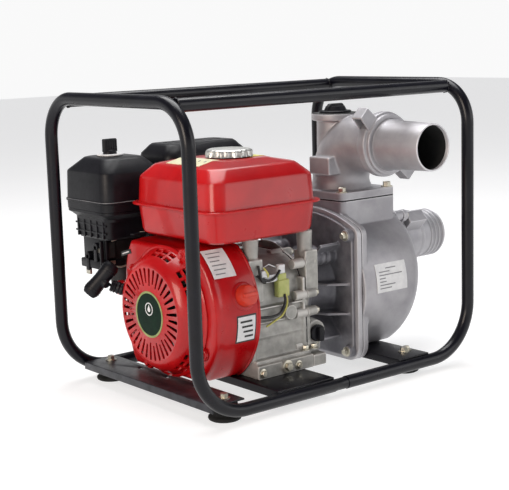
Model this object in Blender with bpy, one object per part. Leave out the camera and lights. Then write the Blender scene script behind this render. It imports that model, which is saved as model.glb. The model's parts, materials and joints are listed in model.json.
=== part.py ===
"""Portable fire pump: a single-cylinder petrol engine with a close-coupled three-inch
self-priming pump, carried in a bent-tube roll cage.

Blender 4.5 script. Sizes below are millimetres in the cage's own frame: x runs along the crankshaft
from the recoil starter (-x) to the pump (+x), -y is the near side with the discharge outlet, +y the
cylinder side, z is up from the ground. Meshes are written in metres, and ROOT moves the whole
assembly so that its origin is the bottom centre of its bounding box.
"""
from math import acos, cos, degrees, pi, radians, sin, sqrt

import bmesh
import bpy
from mathutils import Matrix, Vector

MM = 0.001
GAP = 0.3                    # clearance between pieces that touch
ORIGIN = (42.74, 13.0, 10.0)     # bottom centre of the whole box, in the cage's frame

# Cage
TUBE_R = 9.5
CAGE_X = 266.0               # half the length between post centres
CAGE_Y = 174.0               # half the width between post centres
RAIL_LOW = 27.5
RAIL_TOP = 448.0
BEND_LOW = 80.0
BEND_TOP = 60.0
TOP_RAIL_Y = 136.0
PLATE_TOP = 37.0
PLATE_T = 2.5
LIP = 9.0
END_PLATE = (-236.0, -180.0)
BED_PLATE = (-128.0, -22.0)
PUMP_PLATE = (112.0, 176.0)
FOOT_R = 19.0
FOOT_FLANGE_R = 23.5         # spread foot under the height of the bottom rails
FEET = ((-200.0, -144.0), (-200.0, 144.0), (152.0, -144.0), (152.0, 144.0))

# Engine
CRANK_Y, CRANK_Z = -3.0, 139.0
THROW = 27.0
CYL_TILT = radians(25.0)
CYL_X = -60.0
BORE_R = 34.0
CASE_X0, CASE_X1 = -112.0, -6.0
PTO_X = 33.0
PIN_TDC = 111.0              # crank axis to piston pin at top dead centre
DECK = 134.0                 # crank axis to the head gasket face
CAM_Y, CAM_Z = -45.5, 96.3
CAM_GEAR_R, CRANK_GEAR_R = 39.6, 19.6
FLYWHEEL_R = 84.0
SHROUD_X0, SHROUD_X1 = -190.0, -113.0
SHROUD_R = 119.0
RECOIL_FACE = -223.0
RECOIL_R = 73.0
GRIP = (-235.5, 104.0, 178.0)
PULL_TILT = radians(25.0)
GRIP_LEAN = radians(35.0)

# Tank and air cleaner
TANK = (-190.0, 21.0, -120.0, 97.0)      # flange outline: x0, x1, y0, y1
TANK_FLANGE_Z = 290.0
CAP_X, CAP_Y = -80.0, -18.0
CAP_Z = 356.3
CLEANER = (-221.0, -106.0, 104.0, 232.0)
KNOB_X, KNOB_Y = -166.0, 172.0

# Pump
PUMP_Y, PUMP_Z = -3.0, 137.0
PUMP_R = 117.0
FLANGE_X = 97.5              # joint face between bracket and casing
FRONT_X = 246.0              # machined face of the suction boss
NECK_X, NECK_Y = 155.0, -5.0
NECK_HALF = 62.5
NECK_Z = 274.0               # joint face under the discharge elbow
OUT_Z = 360.0
OUT_END = -206.0
SUCT_Z = 189.0
DRAIN_Z = 62.0
SUCT_END = 361.0

# name: (red, green, blue), roughness, metallic
FINISHES = {
    "black_paint": ((0.012, 0.012, 0.016), 0.32, 0.0),
    "grey_steel": ((0.24, 0.25, 0.27), 0.45, 0.6),
    "rubber": ((0.015, 0.015, 0.015), 0.85, 0.0),
    "cast_aluminium": ((0.42, 0.41, 0.41), 0.42, 0.75),
    "engine_aluminium": ((0.46, 0.45, 0.42), 0.5, 0.6),
    "red_paint": ((0.58, 0.012, 0.016), 0.22, 0.0),
    "black_plastic": ((0.014, 0.014, 0.016), 0.5, 0.0),
    "chrome": ((0.75, 0.75, 0.74), 0.18, 1.0),
    "steel": ((0.5, 0.5, 0.5), 0.3, 1.0),
    "cast_iron": ((0.1, 0.1, 0.1), 0.6, 0.6),
    "orange_plastic": ((0.75, 0.08, 0.02), 0.4, 0.0),
    "yellow_plastic": ((0.55, 0.55, 0.12), 0.45, 0.0),
    "foam": ((0.12, 0.12, 0.12), 0.95, 0.0),
    "rope": ((0.03, 0.03, 0.03), 0.9, 0.0),
}


def clear_scene():
    for old in list(bpy.data.objects):
        bpy.data.objects.remove(old, do_unlink=True)


def make_root():
    """Empty that puts the assembly's bottom centre at the world origin."""
    root = bpy.data.objects.new("assembly", None)
    bpy.context.collection.objects.link(root)
    root.location = -Vector(ORIGIN) * MM
    return root


def make_finish(name):
    colour, roughness, metallic = FINISHES[name]
    material = bpy.data.materials.new(name)
    material.use_nodes = True
    shader = material.node_tree.nodes["Principled BSDF"]
    shader.inputs["Base Color"].default_value = (*colour, 1.0)
    shader.inputs["Roughness"].default_value = roughness
    shader.inputs["Metallic"].default_value = metallic
    return material


# ---------------------------------------------------------------- outlines

def arc(cx, cy, r, a0, a1, steps):
    """Points on an arc, angles in degrees, both ends included."""
    turns = [radians(a0 + (a1 - a0) * i / steps) for i in range(steps + 1)]
    return [(cx + r * cos(a), cy + r * sin(a)) for a in turns]


def ring(r, sides, cx=0.0, cy=0.0):
    return [(cx + r * cos(2 * pi * i / sides), cy + r * sin(2 * pi * i / sides)) for i in range(sides)]


def round_box(x0, x1, y0, y1, r, steps=4):
    """Rectangle with rounded corners, counter-clockwise."""
    points = arc(x1 - r, y1 - r, r, 0, 90, steps)
    points += arc(x0 + r, y1 - r, r, 90, 180, steps)
    points += arc(x0 + r, y0 + r, r, 180, 270, steps)
    points += arc(x1 - r, y0 + r, r, 270, 360, steps)
    return points


# ---------------------------------------------------------------- solids

def skin(loops, capped=True):
    """Join loops of equal length into one closed body; without caps the last loop meets the first."""
    bm = bmesh.new()
    rows = [[bm.verts.new(p) for p in loop] for loop in loops]
    count = len(rows[0])
    pairs = list(zip(rows, rows[1:]))
    if not capped:
        pairs.append((rows[-1], rows[0]))
    for low, high in pairs:
        for i in range(count):
            j = (i + 1) % count
            bm.faces.new((low[i], low[j], high[j], high[i]))
    if capped:
        bm.faces.new(list(reversed(rows[0])))
        bm.faces.new(rows[-1])
    return bm


def place(points, axis, along):
    """Put 2D points on the plane across an axis: x -> (y, z), y -> (z, x), z -> (x, y)."""
    if axis == "x":
        return [(along, u, v) for u, v in points]
    if axis == "y":
        return [(v, along, u) for u, v in points]
    return [(u, v, along) for u, v in points]


def prism(points, axis, a0, a1):
    return skin([place(points, axis, a0), place(points, axis, a1)])


def box(x0, x1, y0, y1, z0, z1):
    return prism([(x0, y0), (x1, y0), (x1, y1), (x0, y1)], "z", z0, z1)


def drum(axis, centre, stations, sides=20):
    """Turned body about an axis through centre (2D, across the axis): stations are (along, radius)."""
    loops = [place(ring(r, sides, *centre), axis, along) for along, r in stations]
    return skin(loops)


def turned_ring(axis, centre, outline, sides=20):
    """Turned body with a bore: outline is a closed run of (along, radius)."""
    loops = [place(ring(r, sides, *centre), axis, along) for along, r in outline]
    return skin(loops, capped=False)


def tube(path, radius, sides=12):
    """Round bar that follows a path of 3D points, with flat ends."""
    points = [Vector(p) for p in path]
    loops = []
    side = None
    for i, point in enumerate(points):
        before = points[max(i - 1, 0)]
        after = points[min(i + 1, len(points) - 1)]
        along = (after - before).normalized()
        if side is None:
            hint = Vector((0, 0, 1)) if abs(along.z) < 0.9 else Vector((0, 1, 0))
            side = along.cross(hint).normalized()
        side = (side - along * side.dot(along)).normalized()
        third = along.cross(side)
        turn = 0.0
        if 0 < i < len(points) - 1:
            turn = (points[i] - before).angle(after - points[i])
        widen = 1.0 / cos(turn / 2)
        bend = ((after - point).normalized() - (point - before).normalized()) if turn > 1e-6 else None
        loop = []
        for k in range(sides):
            a = 2 * pi * k / sides
            offset = side * cos(a) + third * sin(a)
            if bend is not None:
                toward = bend.normalized()
                offset = offset + toward * offset.dot(toward) * (widen - 1.0)
            loop.append(point + offset * radius)
        loops.append(loop)
    return skin(loops)


def turn(bm, angle, axis, centre):
    """Rotate a bmesh about an axis through a point."""
    bmesh.ops.rotate(bm, verts=bm.verts, cent=Vector(centre), matrix=Matrix.Rotation(angle, 3, axis))
    return bm


def shift(bm, x=0.0, y=0.0, z=0.0):
    bmesh.ops.translate(bm, verts=bm.verts, vec=(x, y, z))
    return bm


# ---------------------------------------------------------------- objects

def link_mesh(name, bm, pivot):
    bmesh.ops.recalc_face_normals(bm, faces=bm.faces)
    shift(bm, -pivot[0], -pivot[1], -pivot[2])
    bmesh.ops.scale(bm, verts=bm.verts, vec=(MM, MM, MM))
    mesh = bpy.data.meshes.new(name)
    bm.to_mesh(mesh)
    bm.free()
    obj = bpy.data.objects.new(name, mesh)
    bpy.context.collection.objects.link(obj)
    obj.parent = ROOT
    obj.location = Vector(pivot) * MM
    return obj


def node(name, bm, finish, pivot=(0.0, 0.0, 0.0)):
    obj = link_mesh(name, bm, pivot)
    obj.data.shade_smooth()
    obj.data.set_sharp_from_angle(angle=radians(35))
    obj.data.materials.append(MATERIALS[finish])
    return obj


def boolean(obj, bm, operation):
    """Add (UNION) or take away (DIFFERENCE) a solid, kept as a hidden wire object."""
    cutter = link_mesh(obj.name + "_" + operation.lower(), bm, (0.0, 0.0, 0.0))
    cutter.hide_render = True
    cutter.display_type = "WIRE"
    step = obj.modifiers.new(operation.lower(), "BOOLEAN")
    step.operation = operation
    step.solver = "EXACT"
    step.object = cutter
    return obj


def add(obj, *solids):
    for bm in solids:
        boolean(obj, bm, "UNION")
    return obj


def cut(obj, *solids):
    for bm in solids:
        boolean(obj, bm, "DIFFERENCE")
    return obj


# ---------------------------------------------------------------- cage

def hoop_path(end):
    """Centre line of one cage loop; end is -1 for the engine end and +1 for the pump end."""
    x = end * CAGE_X
    low = RAIL_LOW + BEND_LOW
    run = [(end * GAP / 2, -CAGE_Y, RAIL_LOW)]
    for u, v in arc(0, 0, BEND_LOW, 270, 360, 6):
        run.append((x - end * BEND_LOW + end * u, -CAGE_Y, low + v))
    for u, v in arc(0, 0, BEND_TOP, 180, 90, 6):
        run.append((x, -CAGE_Y + BEND_TOP + u, RAIL_TOP - BEND_TOP + v))
    return run + [(px, -py, pz) for px, py, pz in reversed(run)]


def build_cage():
    node("frame_hoop_engine_end", tube(hoop_path(-1), TUBE_R), "black_paint")
    node("frame_hoop_pump_end", tube(hoop_path(1), TUBE_R), "black_paint")
    drop = BEND_TOP - sqrt(BEND_TOP ** 2 - (TOP_RAIL_Y - CAGE_Y + BEND_TOP) ** 2)
    end = CAGE_X - TUBE_R - GAP
    for name, y in (("top_rail_near", -TOP_RAIL_Y), ("top_rail_far", TOP_RAIL_Y)):
        node(name, tube([(-end, y, RAIL_TOP - drop), (end, y, RAIL_TOP - drop)], TUBE_R), "black_paint")


def cross_plate(x0, x1, y_end):
    """Flat top of a plate that crosses the cage on its bottom rails."""
    return box(x0, x1, -y_end, y_end, PLATE_TOP + GAP, PLATE_TOP + GAP + PLATE_T)


def lips(x0, x1, y_in):
    """Lips folded down along both long edges of a cross plate."""
    z1 = PLATE_TOP + GAP + PLATE_T / 2
    z0 = PLATE_TOP + PLATE_T - LIP
    return (box(x0, x0 + PLATE_T, -y_in, y_in, z0, z1), box(x1 - PLATE_T, x1, -y_in, y_in, z0, z1))


def build_plates():
    inner = CAGE_Y - TUBE_R - 3
    end = node("engine_end_plate", cross_plate(*END_PLATE, CAGE_Y - TUBE_R - GAP), "grey_steel")
    add(end, lips(*END_PLATE, inner)[0])
    pump = node("pump_end_plate", cross_plate(*PUMP_PLATE, CAGE_Y), "black_paint")
    add(pump, *lips(*PUMP_PLATE, inner))
    bed = node("engine_bed_plate", cross_plate(*BED_PLATE, CAGE_Y), "black_paint")
    add(bed, *lips(*BED_PLATE, inner))
    cut(bed, box(-112, -42, -52, 52, 20, 60))


def build_feet():
    for number, (x, y) in enumerate(FEET, start=1):
        stations = [(ORIGIN[2], FOOT_FLANGE_R - 2), (14, FOOT_FLANGE_R), (16, FOOT_FLANGE_R - 1),
                    (17, FOOT_R - 1), (PLATE_TOP - 3, FOOT_R), (PLATE_TOP, FOOT_R - 3)]
        node(f"rubber_foot_{number}", drum("z", (x, y), stations, 16), "rubber")


# ---------------------------------------------------------------- engine block

def bore_point(s):
    """Point on the cylinder axis at distance s from the crank axis: (y, z)."""
    return CRANK_Y + s * cos(CYL_TILT), CRANK_Z + s * sin(CYL_TILT)


def along_bore(stations, sides=20):
    """Turned body on the cylinder axis: drawn along +y from the crank axis, then tilted."""
    return tilt(skin([[(CYL_X + u, s, v) for v, u in ring(r, sides)] for s, r in stations]))


def block_on_bore(x0, x1, s0, s1, w0, w1):
    """Box in the cylinder's own directions: s along the bore, w across it."""
    return tilt(box(x0, x1, s0, s1, w0, w1))


def tilt(bm):
    turn(bm, CYL_TILT, "X", (0, 0, 0))
    return shift(bm, 0, CRANK_Y, CRANK_Z)


def case_outline(inset):
    """Crankcase section across the crank: straight foot, sides that lean in, rounded top."""
    i = inset
    points = [(-98 + i, 40.2 + i), (92 - i, 40.2 + i), (92 - i, 92), (88 - i, 150)]
    points += arc(30, 150, 58 - i, 0, 90, 5)
    points += arc(-36, 156, 52 - i, 90, 180, 5)
    points += [(-98 + i, 110)]
    return points


def tank_post(x):
    """Tapered pillar under the fuel tank."""
    return drum("z", (x, -84), [(212, 10), (242.6, 12)], 12)


def build_crankcase():
    block = node("crankcase", prism(case_outline(0), "x", CASE_X0, CASE_X1), "engine_aluminium")
    add(block, block_on_bore(CYL_X - 50, CYL_X + 50, 60, DECK, -50, 50),
        box(CASE_X0 + 0.5, -86, -97, -72, 150, 213), tank_post(-98),
        box(CASE_X0, CASE_X1, -112, -92, 40.2, 60))
    cut(block, prism(case_outline(6), "x", CASE_X0 + 6, CASE_X1 + 1),
        along_bore([(30, BORE_R), (DECK + 5, BORE_R)]),
        drum("x", (CRANK_Y, CRANK_Z), [(CASE_X0 - 5, 13), (CASE_X0 + 12, 13)]),
        drum("x", (CAM_Y, CAM_Z), [(CASE_X0 - 5, 7.3), (CASE_X0 + 12, 7.3)], 16))


def build_side_cover():
    x0 = CASE_X1 + GAP
    cover = node("crankcase_side_cover", prism(case_outline(0), "x", x0, x0 + 7), "engine_aluminium")
    add(cover, drum("x", (CRANK_Y, CRANK_Z), [(x0 + 4, 80), (x0 + 20, 62), (PTO_X, 58)], 24),
        box(x0 + 1, 20, -97, -70, 120, 213), tank_post(5),
        box(x0 + 1, 24, -94, -60, 60, 100))
    cut(cover, drum("x", (CRANK_Y, CRANK_Z), [(x0 - 5, 70), (x0 + 4, 70), (PTO_X - 9, 48)], 24),
        drum("x", (CRANK_Y, CRANK_Z), [(x0, 13), (PTO_X + 5, 13)]))


def build_head():
    head = node("cylinder_head", block_on_bore(-108, -12, DECK + GAP, DECK + 42, -48, 48),
                "engine_aluminium")
    cut(head, along_bore([(DECK - 1, BORE_R - 2), (DECK + 8, BORE_R - 14)]),
        plug_bore())
    valve_pocket = block_on_bore(-96, -24, DECK + 32, DECK + 50, -26, 36)
    cut(head, valve_pocket)
    node("rocker_cover", rocker_shell(), "steel")
    node("spark_plug", on_plug_axis([(-4, 4.9), (61, 4.9), (62, 8), (70, 8), (71, 6), (84, 5)]), "steel")
    node("plug_cap", on_plug_axis([(84.3, 9), (104, 8)]), "rubber")


def on_plug_axis(stations):
    """Turned body on the spark plug's axis, which runs out of the head's lower side."""
    bm = turn(drum("z", (0, 0), stations, 12), radians(-150), "X", (0, 0, 0))
    return tilt(shift(bm, CYL_X, DECK + 6, 0))


def plug_bore():
    return on_plug_axis([(-12, 5.3), (90, 5.3)])


def rocker_shell():
    """Pressed cover over the valve gear, open toward the head."""
    def loop(x_half, w_half, s):
        points = round_box(CYL_X - x_half, CYL_X + x_half, -w_half, w_half, 12, 3)
        return [(x, s, w) for x, w in points]
    s0 = DECK + 42 + GAP
    loops = [loop(40, 38, s0), loop(46, 44, s0), loop(46, 44, s0 + 3), loop(42, 40, s0 + 3),
             loop(40, 38, s0 + 26), loop(32, 30, s0 + 34), loop(30, 28, s0 + 32), loop(38, 36, s0 + 24)]
    return tilt(skin_open_cup(loops[:6], loops[6:]))


def skin_open_cup(outer, inner):
    """Cup: outer loops from the open rim to the closed end, inner loops from the closed end back."""
    bm = bmesh.new()
    rows = [[bm.verts.new(p) for p in loop] for loop in outer]
    inside = [[bm.verts.new(p) for p in loop] for loop in inner]
    count = len(rows[0])
    pairs = list(zip(rows, rows[1:])) + list(zip(inside, inside[1:])) + [(inside[-1], rows[0])]
    for low, high in pairs:
        for i in range(count):
            j = (i + 1) % count
            bm.faces.new((low[i], low[j], high[j], high[i]))
    bm.faces.new(rows[-1])
    bm.faces.new(list(reversed(inside[0])))
    return bm


# ---------------------------------------------------------------- moving parts of the engine

def build_crank():
    centre = (CRANK_Y, CRANK_Z)
    pin_y, pin_z = bore_point(THROW)
    pivot = (0.0, CRANK_Y, CRANK_Z)
    crank = node("crankshaft", drum("x", centre, [(-193, 9), (-160, 9), (-150, 12.5), (-85, 12.5)]),
                 "steel", pivot)
    add(crank, drum("x", centre, [(-86, 40), (-74, 40)]),
        drum("x", (pin_y, pin_z), [(-75, 14), (-45, 14)]),
        drum("x", centre, [(-46, 40), (-34, 40)]),
        drum("x", centre, [(-35, 12.5), (-26, 12.5)]),
        drum("x", centre, [(-27, CRANK_GEAR_R), (-15, CRANK_GEAR_R)]),
        drum("x", centre, [(-16, 12.5), (62, 12.5), (63, 8), (128, 8)]))
    node("connecting_rod_big_end",
         turned_ring("x", (pin_y, pin_z), [(-72, 14.3), (-48, 14.3), (-48, 20), (-72, 20)]),
         "steel", (CYL_X, pin_y, pin_z))


def build_piston_and_rod():
    piston = node("piston", along_bore([(PIN_TDC - 22, BORE_R - GAP), (PIN_TDC + 20, BORE_R - GAP)]),
                  "engine_aluminium")
    cut(piston, along_bore([(PIN_TDC - 30, 27), (PIN_TDC + 12, 27)]),
        shift(drum("x", (0, 0), [(-45, 9), (45, 9)], 16), CYL_X, *bore_point(PIN_TDC)))
    shank = tilt(box(CYL_X - 6, CYL_X + 6, 56, PIN_TDC - 9, -7, 7))
    rod = node("connecting_rod_shank", shank, "steel")
    pin_y, pin_z = bore_point(PIN_TDC)
    add(rod, drum("x", (pin_y, pin_z), [(CYL_X - 10, 11.5), (CYL_X + 10, 11.5)], 16),
        drum("x", (pin_y, pin_z), [(CYL_X - 31, 8.7), (CYL_X + 31, 8.7)], 16))


def build_camshaft():
    centre = (CAM_Y, CAM_Z)
    cam = node("camshaft", drum("x", centre, [(CASE_X0 + 1, 6.8), (-12, 6.8)], 16),
               "cast_iron", (0.0, CAM_Y, CAM_Z))
    add(cam, drum("x", centre, [(-26, CAM_GEAR_R), (-16, CAM_GEAR_R)], 28),
        drum("x", (CAM_Y - 3, CAM_Z), [(-100, 10), (-92, 10)], 16),
        drum("x", (CAM_Y, CAM_Z + 3), [(-44, 9), (-34, 9)], 16))


def build_flywheel():
    centre = (CRANK_Y, CRANK_Z)
    pivot = (0.0, CRANK_Y, CRANK_Z)
    rim = [(-146, 13), (-122, 13), (-122, FLYWHEEL_R), (-146, FLYWHEEL_R)]
    wheel = node("flywheel", turned_ring("x", centre, rim, 28), "cast_iron", pivot)
    for k in range(10):
        blade = box(-160, -144, CRANK_Y + 50, CRANK_Y + FLYWHEEL_R - 1, CRANK_Z - 2, CRANK_Z + 2)
        add(wheel, turn(blade, 2 * pi * k / 10, "X", (0, CRANK_Y, CRANK_Z)))
    cup = [(-172, 11), (-146 - GAP, 13.3), (-146 - GAP, 34), (-178, 34), (-178, 31), (-172, 31)]
    node("starter_cup", turned_ring("x", centre, cup, 20), "steel", pivot)


def build_ignition():
    z0 = CRANK_Z + FLYWHEEL_R + 0.5
    node("ignition_coil", box(-144, -124, CRANK_Y - 18, CRANK_Y + 18, z0, z0 + 9), "black_plastic")


# ---------------------------------------------------------------- shroud and starter

def shroud_outline(scale=1.0):
    """Blower housing seen along the crank: round on the near side, squared toward the cylinder."""
    points = []
    for y, z in ring(1.0, 40):
        if y > 0:
            y, z = y ** 0.45, (1 if z > 0 else -1) * abs(z) ** 0.75
        y = min(CRANK_Y + SHROUD_R * y, 119.0)
        z = min(max(CRANK_Z + SHROUD_R * z, 40.5), 236.0)
        points.append((CRANK_Y + (y - CRANK_Y) * scale, CRANK_Z + (z - CRANK_Z) * scale))
    return points


def build_shroud():
    outer = [place(shroud_outline(), "x", SHROUD_X1), place(shroud_outline(), "x", SHROUD_X0 + 8),
             place(shroud_outline(0.93), "x", SHROUD_X0)]
    inner = [place(shroud_outline(0.91), "x", SHROUD_X0 + 2.4),
             place(shroud_outline(0.982), "x", SHROUD_X0 + 9),
             place(shroud_outline(0.982), "x", SHROUD_X1)]
    shroud = node("fan_cover", skin_open_cup(outer, inner), "red_paint")
    cut(shroud, drum("x", (CRANK_Y, CRANK_Z), [(SHROUD_X0 - 5, 84), (SHROUD_X0 + 6, 84)], 28))


def recoil_loops(radii):
    return [place(ring(r, 32, CRANK_Y, CRANK_Z), "x", x) for x, r in radii]


def build_recoil():
    face = RECOIL_FACE
    rim = SHROUD_X0 - GAP
    outer = [(rim, 92), (rim - 6, 92), (face + 8, 82), (face + 1, RECOIL_R), (face, RECOIL_R - 3)]
    inner = [(face + 2, RECOIL_R - 5), (face + 9, 79), (rim - 6, 89), (rim, 89)]
    cover = node("recoil_cover", skin_open_cup(recoil_loops(outer), recoil_loops(inner)), "red_paint")
    add(cover, drum("x", (CRANK_Y, CRANK_Z), [(face + 1, 6), (-203.5, 6)], 16))
    add(cover, box(-212, -198, 84, 104, CRANK_Z + 12, CRANK_Z + 34))
    pull = Vector((0, cos(PULL_TILT), sin(PULL_TILT)))
    under_grip = Vector((-205, GRIP[1], GRIP[2] - 6))
    cut(cover, tube([under_grip - 60 * pull, under_grip + 10 * pull], 3.2, 8))
    reel = [(-208, 7), (-208, 40), (-204.3, 40), (-204.3, 30), (-198.7, 30), (-198.7, 40), (-195, 40),
            (-195, 7)]
    node("recoil_reel", turned_ring("x", (CRANK_Y, CRANK_Z), reel, 20), "black_plastic",
         (-201.0, CRANK_Y, CRANK_Z))


def build_rope():
    """Rope wound in the reel's groove."""
    wound = [(-204, 30.4), (-199, 30.4), (-199, 37), (-204, 37)]
    node("starter_rope", turned_ring("x", (CRANK_Y, CRANK_Z), wound, 20), "rope", (-201.5, CRANK_Y, CRANK_Z))


def build_grip():
    """T-handle whose bar stands across the rope and leans toward the engine."""
    bar = drum("z", (0, 0), [(-29, 9), (-24, 13), (0, 12), (24, 13), (29, 9)], 12)
    turn(bar, GRIP_LEAN, "Y", (0, 0, 0))
    turn(bar, PULL_TILT, "X", (0, 0, 0))
    node("starter_handle", shift(bar, *GRIP), "black_plastic", GRIP)


# ---------------------------------------------------------------- fuel, air and exhaust

def tank_loop(inset, z, r):
    x0, x1, y0, y1 = TANK
    return place(round_box(x0 + inset, x1 - inset, y0 + inset, y1 - inset, r, 4), "z", z)


def build_tank():
    f = TANK_FLANGE_Z
    outer = [tank_loop(16, 243, 16), tank_loop(10, 249, 18), tank_loop(8, f - 1.5, 20),
             tank_loop(0, f - 1.5, 24), tank_loop(0, f + 1.5, 24), tank_loop(8, f + 1.5, 20),
             tank_loop(10, 333, 20), tank_loop(24, 349, 22), tank_loop(52, 356, 24)]
    tank = node("fuel_tank", skin(outer), "red_paint")
    hollow = [tank_loop(18, 246, 14), tank_loop(12, 251, 16), tank_loop(12, 331, 18), tank_loop(26, 346, 20),
              tank_loop(54, 353, 22)]
    cut(tank, skin(hollow), drum("z", (CAP_X, CAP_Y), [(348, 20), (364, 20)]))
    cap = node("fuel_cap", drum("z", (CAP_X, CAP_Y), [(CAP_Z, 36), (CAP_Z + 9, 36), (CAP_Z + 12, 31)], 24),
               "chrome", (CAP_X, CAP_Y, CAP_Z))
    add(cap, drum("z", (CAP_X, CAP_Y), [(CAP_Z - 8, 19.4), (CAP_Z + 2, 19.4)], 20))


def build_air_cleaner():
    x0, x1, y0, y1 = CLEANER

    def loop(inset, z, r):
        return place(round_box(x0 + inset, x1 - inset, y0 + inset, y1 - inset, r, 4), "z", z)
    cover_out = [loop(1, 274.3, 15), loop(0, 290, 16), loop(2, 293, 15), loop(2, 333, 15), loop(20, 351, 12),
                 loop(24, 354, 10)]
    cover_in = [loop(26, 351, 8), loop(5, 331, 13), loop(4, 274.3, 13)]
    cover = node("air_cleaner_cover", skin_open_cup(cover_out, cover_in), "black_plastic")
    cut(cover, drum("z", (KNOB_X, KNOB_Y), [(340, 4.5), (360, 4.5)], 12))
    base = node("air_cleaner_base", skin([loop(2, 270, 15), loop(2, 274, 15)]), "black_plastic")
    add(base, prism(round_box(-206, -114, 126, 218, 10, 3), "z", 228.3, 271),
        drum("z", (KNOB_X, KNOB_Y), [(273, 3), (358, 3)], 8))
    cut(base, drum("z", (-128, 182), [(226, 10), (280, 10)], 16))
    filt = node("air_filter_element", prism(round_box(-198, -118, 122, 209, 12, 3), "z", 274.5, 326), "foam")
    cut(filt, prism(round_box(-180, -136, 140, 192, 8, 3), "z", 270, 330))
    knob = node("air_cleaner_knob", drum("z", (KNOB_X, KNOB_Y), [(354.4, 20), (356.5, 20)], 20),
                "black_plastic", (KNOB_X, KNOB_Y, 355.0))
    add(knob, drum("z", (KNOB_X, KNOB_Y), [(356, 9), (363, 8)], 12),
        box(KNOB_X - 12, KNOB_X + 12, KNOB_Y - 4, KNOB_Y + 4, 359, 380))
    cut(knob, drum("z", (KNOB_X, KNOB_Y), [(350, 4.8), (360, 4.8)], 16))


def build_carburettor():
    body = node("carburettor", prism(round_box(-196, -113, 150, 210, 8, 2), "z", 178, 228), "cast_iron")
    add(body, drum("z", (-150, 176), [(140, 14), (144, 20), (180, 20)], 20),
        box(-120, -108.3, 126, 200, 188, 224))
    cut(body, drum("z", (-128, 182), [(198, 10), (232, 10)], 16),
        drum("x", (138, 206), [(-114, 10), (-105, 10)], 16))
    levers = (("choke_lever", (-200.3, 168.0, 216.0)), ("fuel_valve_lever", (-200.3, 192.0, 200.0)))
    for name, pivot in levers:
        x, y, z = pivot
        lever = node(name, drum("x", (y, z), [(x - 4, 6), (x + 4, 6)], 12), "black_plastic", pivot)
        add(lever, box(x - 4, x, y - 4, y + 4, z - 24, z))


def build_muffler():
    muffler = node("muffler", prism(round_box(-88, 46, 118, 186, 18, 3), "z", 262, 340), "cast_iron")
    add(muffler, drum("z", (-30, 130), [(257.5, 10), (264, 10)], 16))
    cut(muffler, prism(round_box(-85, 43, 121, 183, 15, 3), "z", 265, 337),
        drum("x", (160, 300), [(36, 9), (54, 9)], 12))

    def loop(inset, z, r):
        return place(round_box(-104 + inset, 60 - inset, 103 + inset, 200 - inset, r, 3), "z", z)
    outer = [loop(0, 262, 20), loop(2, 352, 20), loop(16, 367, 12)]
    inner = [loop(15, 364, 12), loop(4, 350, 18), loop(2, 262, 18)]
    node("muffler_guard", skin_open_cup(outer, inner), "black_plastic")


# ---------------------------------------------------------------- small engine controls

def build_controls():
    cap = shift(drum("y", (0, 0), [(-14, 13), (0, 13)], 16), 15, -94.5, 86)
    node("oil_filler_cap", cap, "black_plastic", (15.0, -94.5, 86.0))
    switch_y, switch_z = CRANK_Y - SHROUD_R * cos(radians(15)), CRANK_Z + SHROUD_R * sin(radians(15))
    knob = drum("y", (0, 0), [(-14, 8), (-11, 15), (0, 16)], 16)
    turn(knob, radians(-15), "X", (0, 0, 0))
    centre = (-138.0, switch_y - GAP, switch_z)
    node("engine_switch_knob", shift(knob, *centre), "orange_plastic", centre)
    node("oil_alert_unit", prism(round_box(152, 184, -62, -38, 6, 3), "y", -101.5, -89.4), "yellow_plastic")
    governor = node("governor_arm", box(-92, -24, 12, 22, 216, 219), "steel", (-86.0, 17.0, 217.0))
    add(governor, drum("z", (-86, 17), [(208.4, 6), (222, 6)], 12))
    throttle = node("throttle_lever", box(-184, -146, 91.5, 100.5, 239, 241.5), "black_plastic",
                    (-150.0, 96.0, 240.0))
    add(throttle, drum("z", (-150, 96), [(236.6, 6), (242.4, 6)], 12))


# ---------------------------------------------------------------- pump

def flange_outline():
    """Joint flange between bracket and casing: straight sides and a top that arches over the pump."""
    side, corner_r, arch_r, arch_z = 92.0, 16.0, 220.0, 42.0
    lean = degrees(acos(side / (arch_r - corner_r)))
    corner_z = arch_z + (arch_r - corner_r) * sin(radians(lean))
    points = arc(PUMP_Y + side, corner_z, corner_r, 0, lean, 3)
    points += arc(PUMP_Y, arch_z, arch_r, lean, 180 - lean, 8)[1:-1]
    points += arc(PUMP_Y - side, corner_z, corner_r, 180 - lean, 180, 3)
    points += arc(PUMP_Y - 84, 52, 24, 180, 270, 4)
    points += arc(PUMP_Y + 84, 52, 24, 270, 360, 4)
    return points


def build_bracket():
    centre = (CRANK_Y, CRANK_Z)
    bracket = node("pump_bracket", prism(flange_outline(), "x", 89, FLANGE_X - GAP), "cast_aluminium")
    add(bracket, drum("x", centre, [(PTO_X + GAP, 56), (PTO_X + 8, 56), (PTO_X + 14, 46), (90, 72)], 24))
    for z in (104, 150):
        add(bracket, box(56, 90, CRANK_Y - 95, CRANK_Y - 27, z - 2, z + 2),
            box(56, 90, CRANK_Y + 27, CRANK_Y + 95, z - 2, z + 2))
    for k in range(4):
        rib = box(PTO_X + 10, 90, CRANK_Y + 38, CRANK_Y + 104, CRANK_Z - 3, CRANK_Z + 3)
        add(bracket, turn(rib, radians(45 + 90 * k), "X", (0, CRANK_Y, CRANK_Z)))
    cut(bracket, drum("x", centre, [(PTO_X - 5, 13), (120, 13)]), drum("x", centre, [(76, 26), (120, 26)]))
    node("mechanical_seal", turned_ring("x", centre, [(78, 8.6), (98, 8.6), (98, 24), (78, 24)], 20),
         "rubber", (88.0, *centre))


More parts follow.
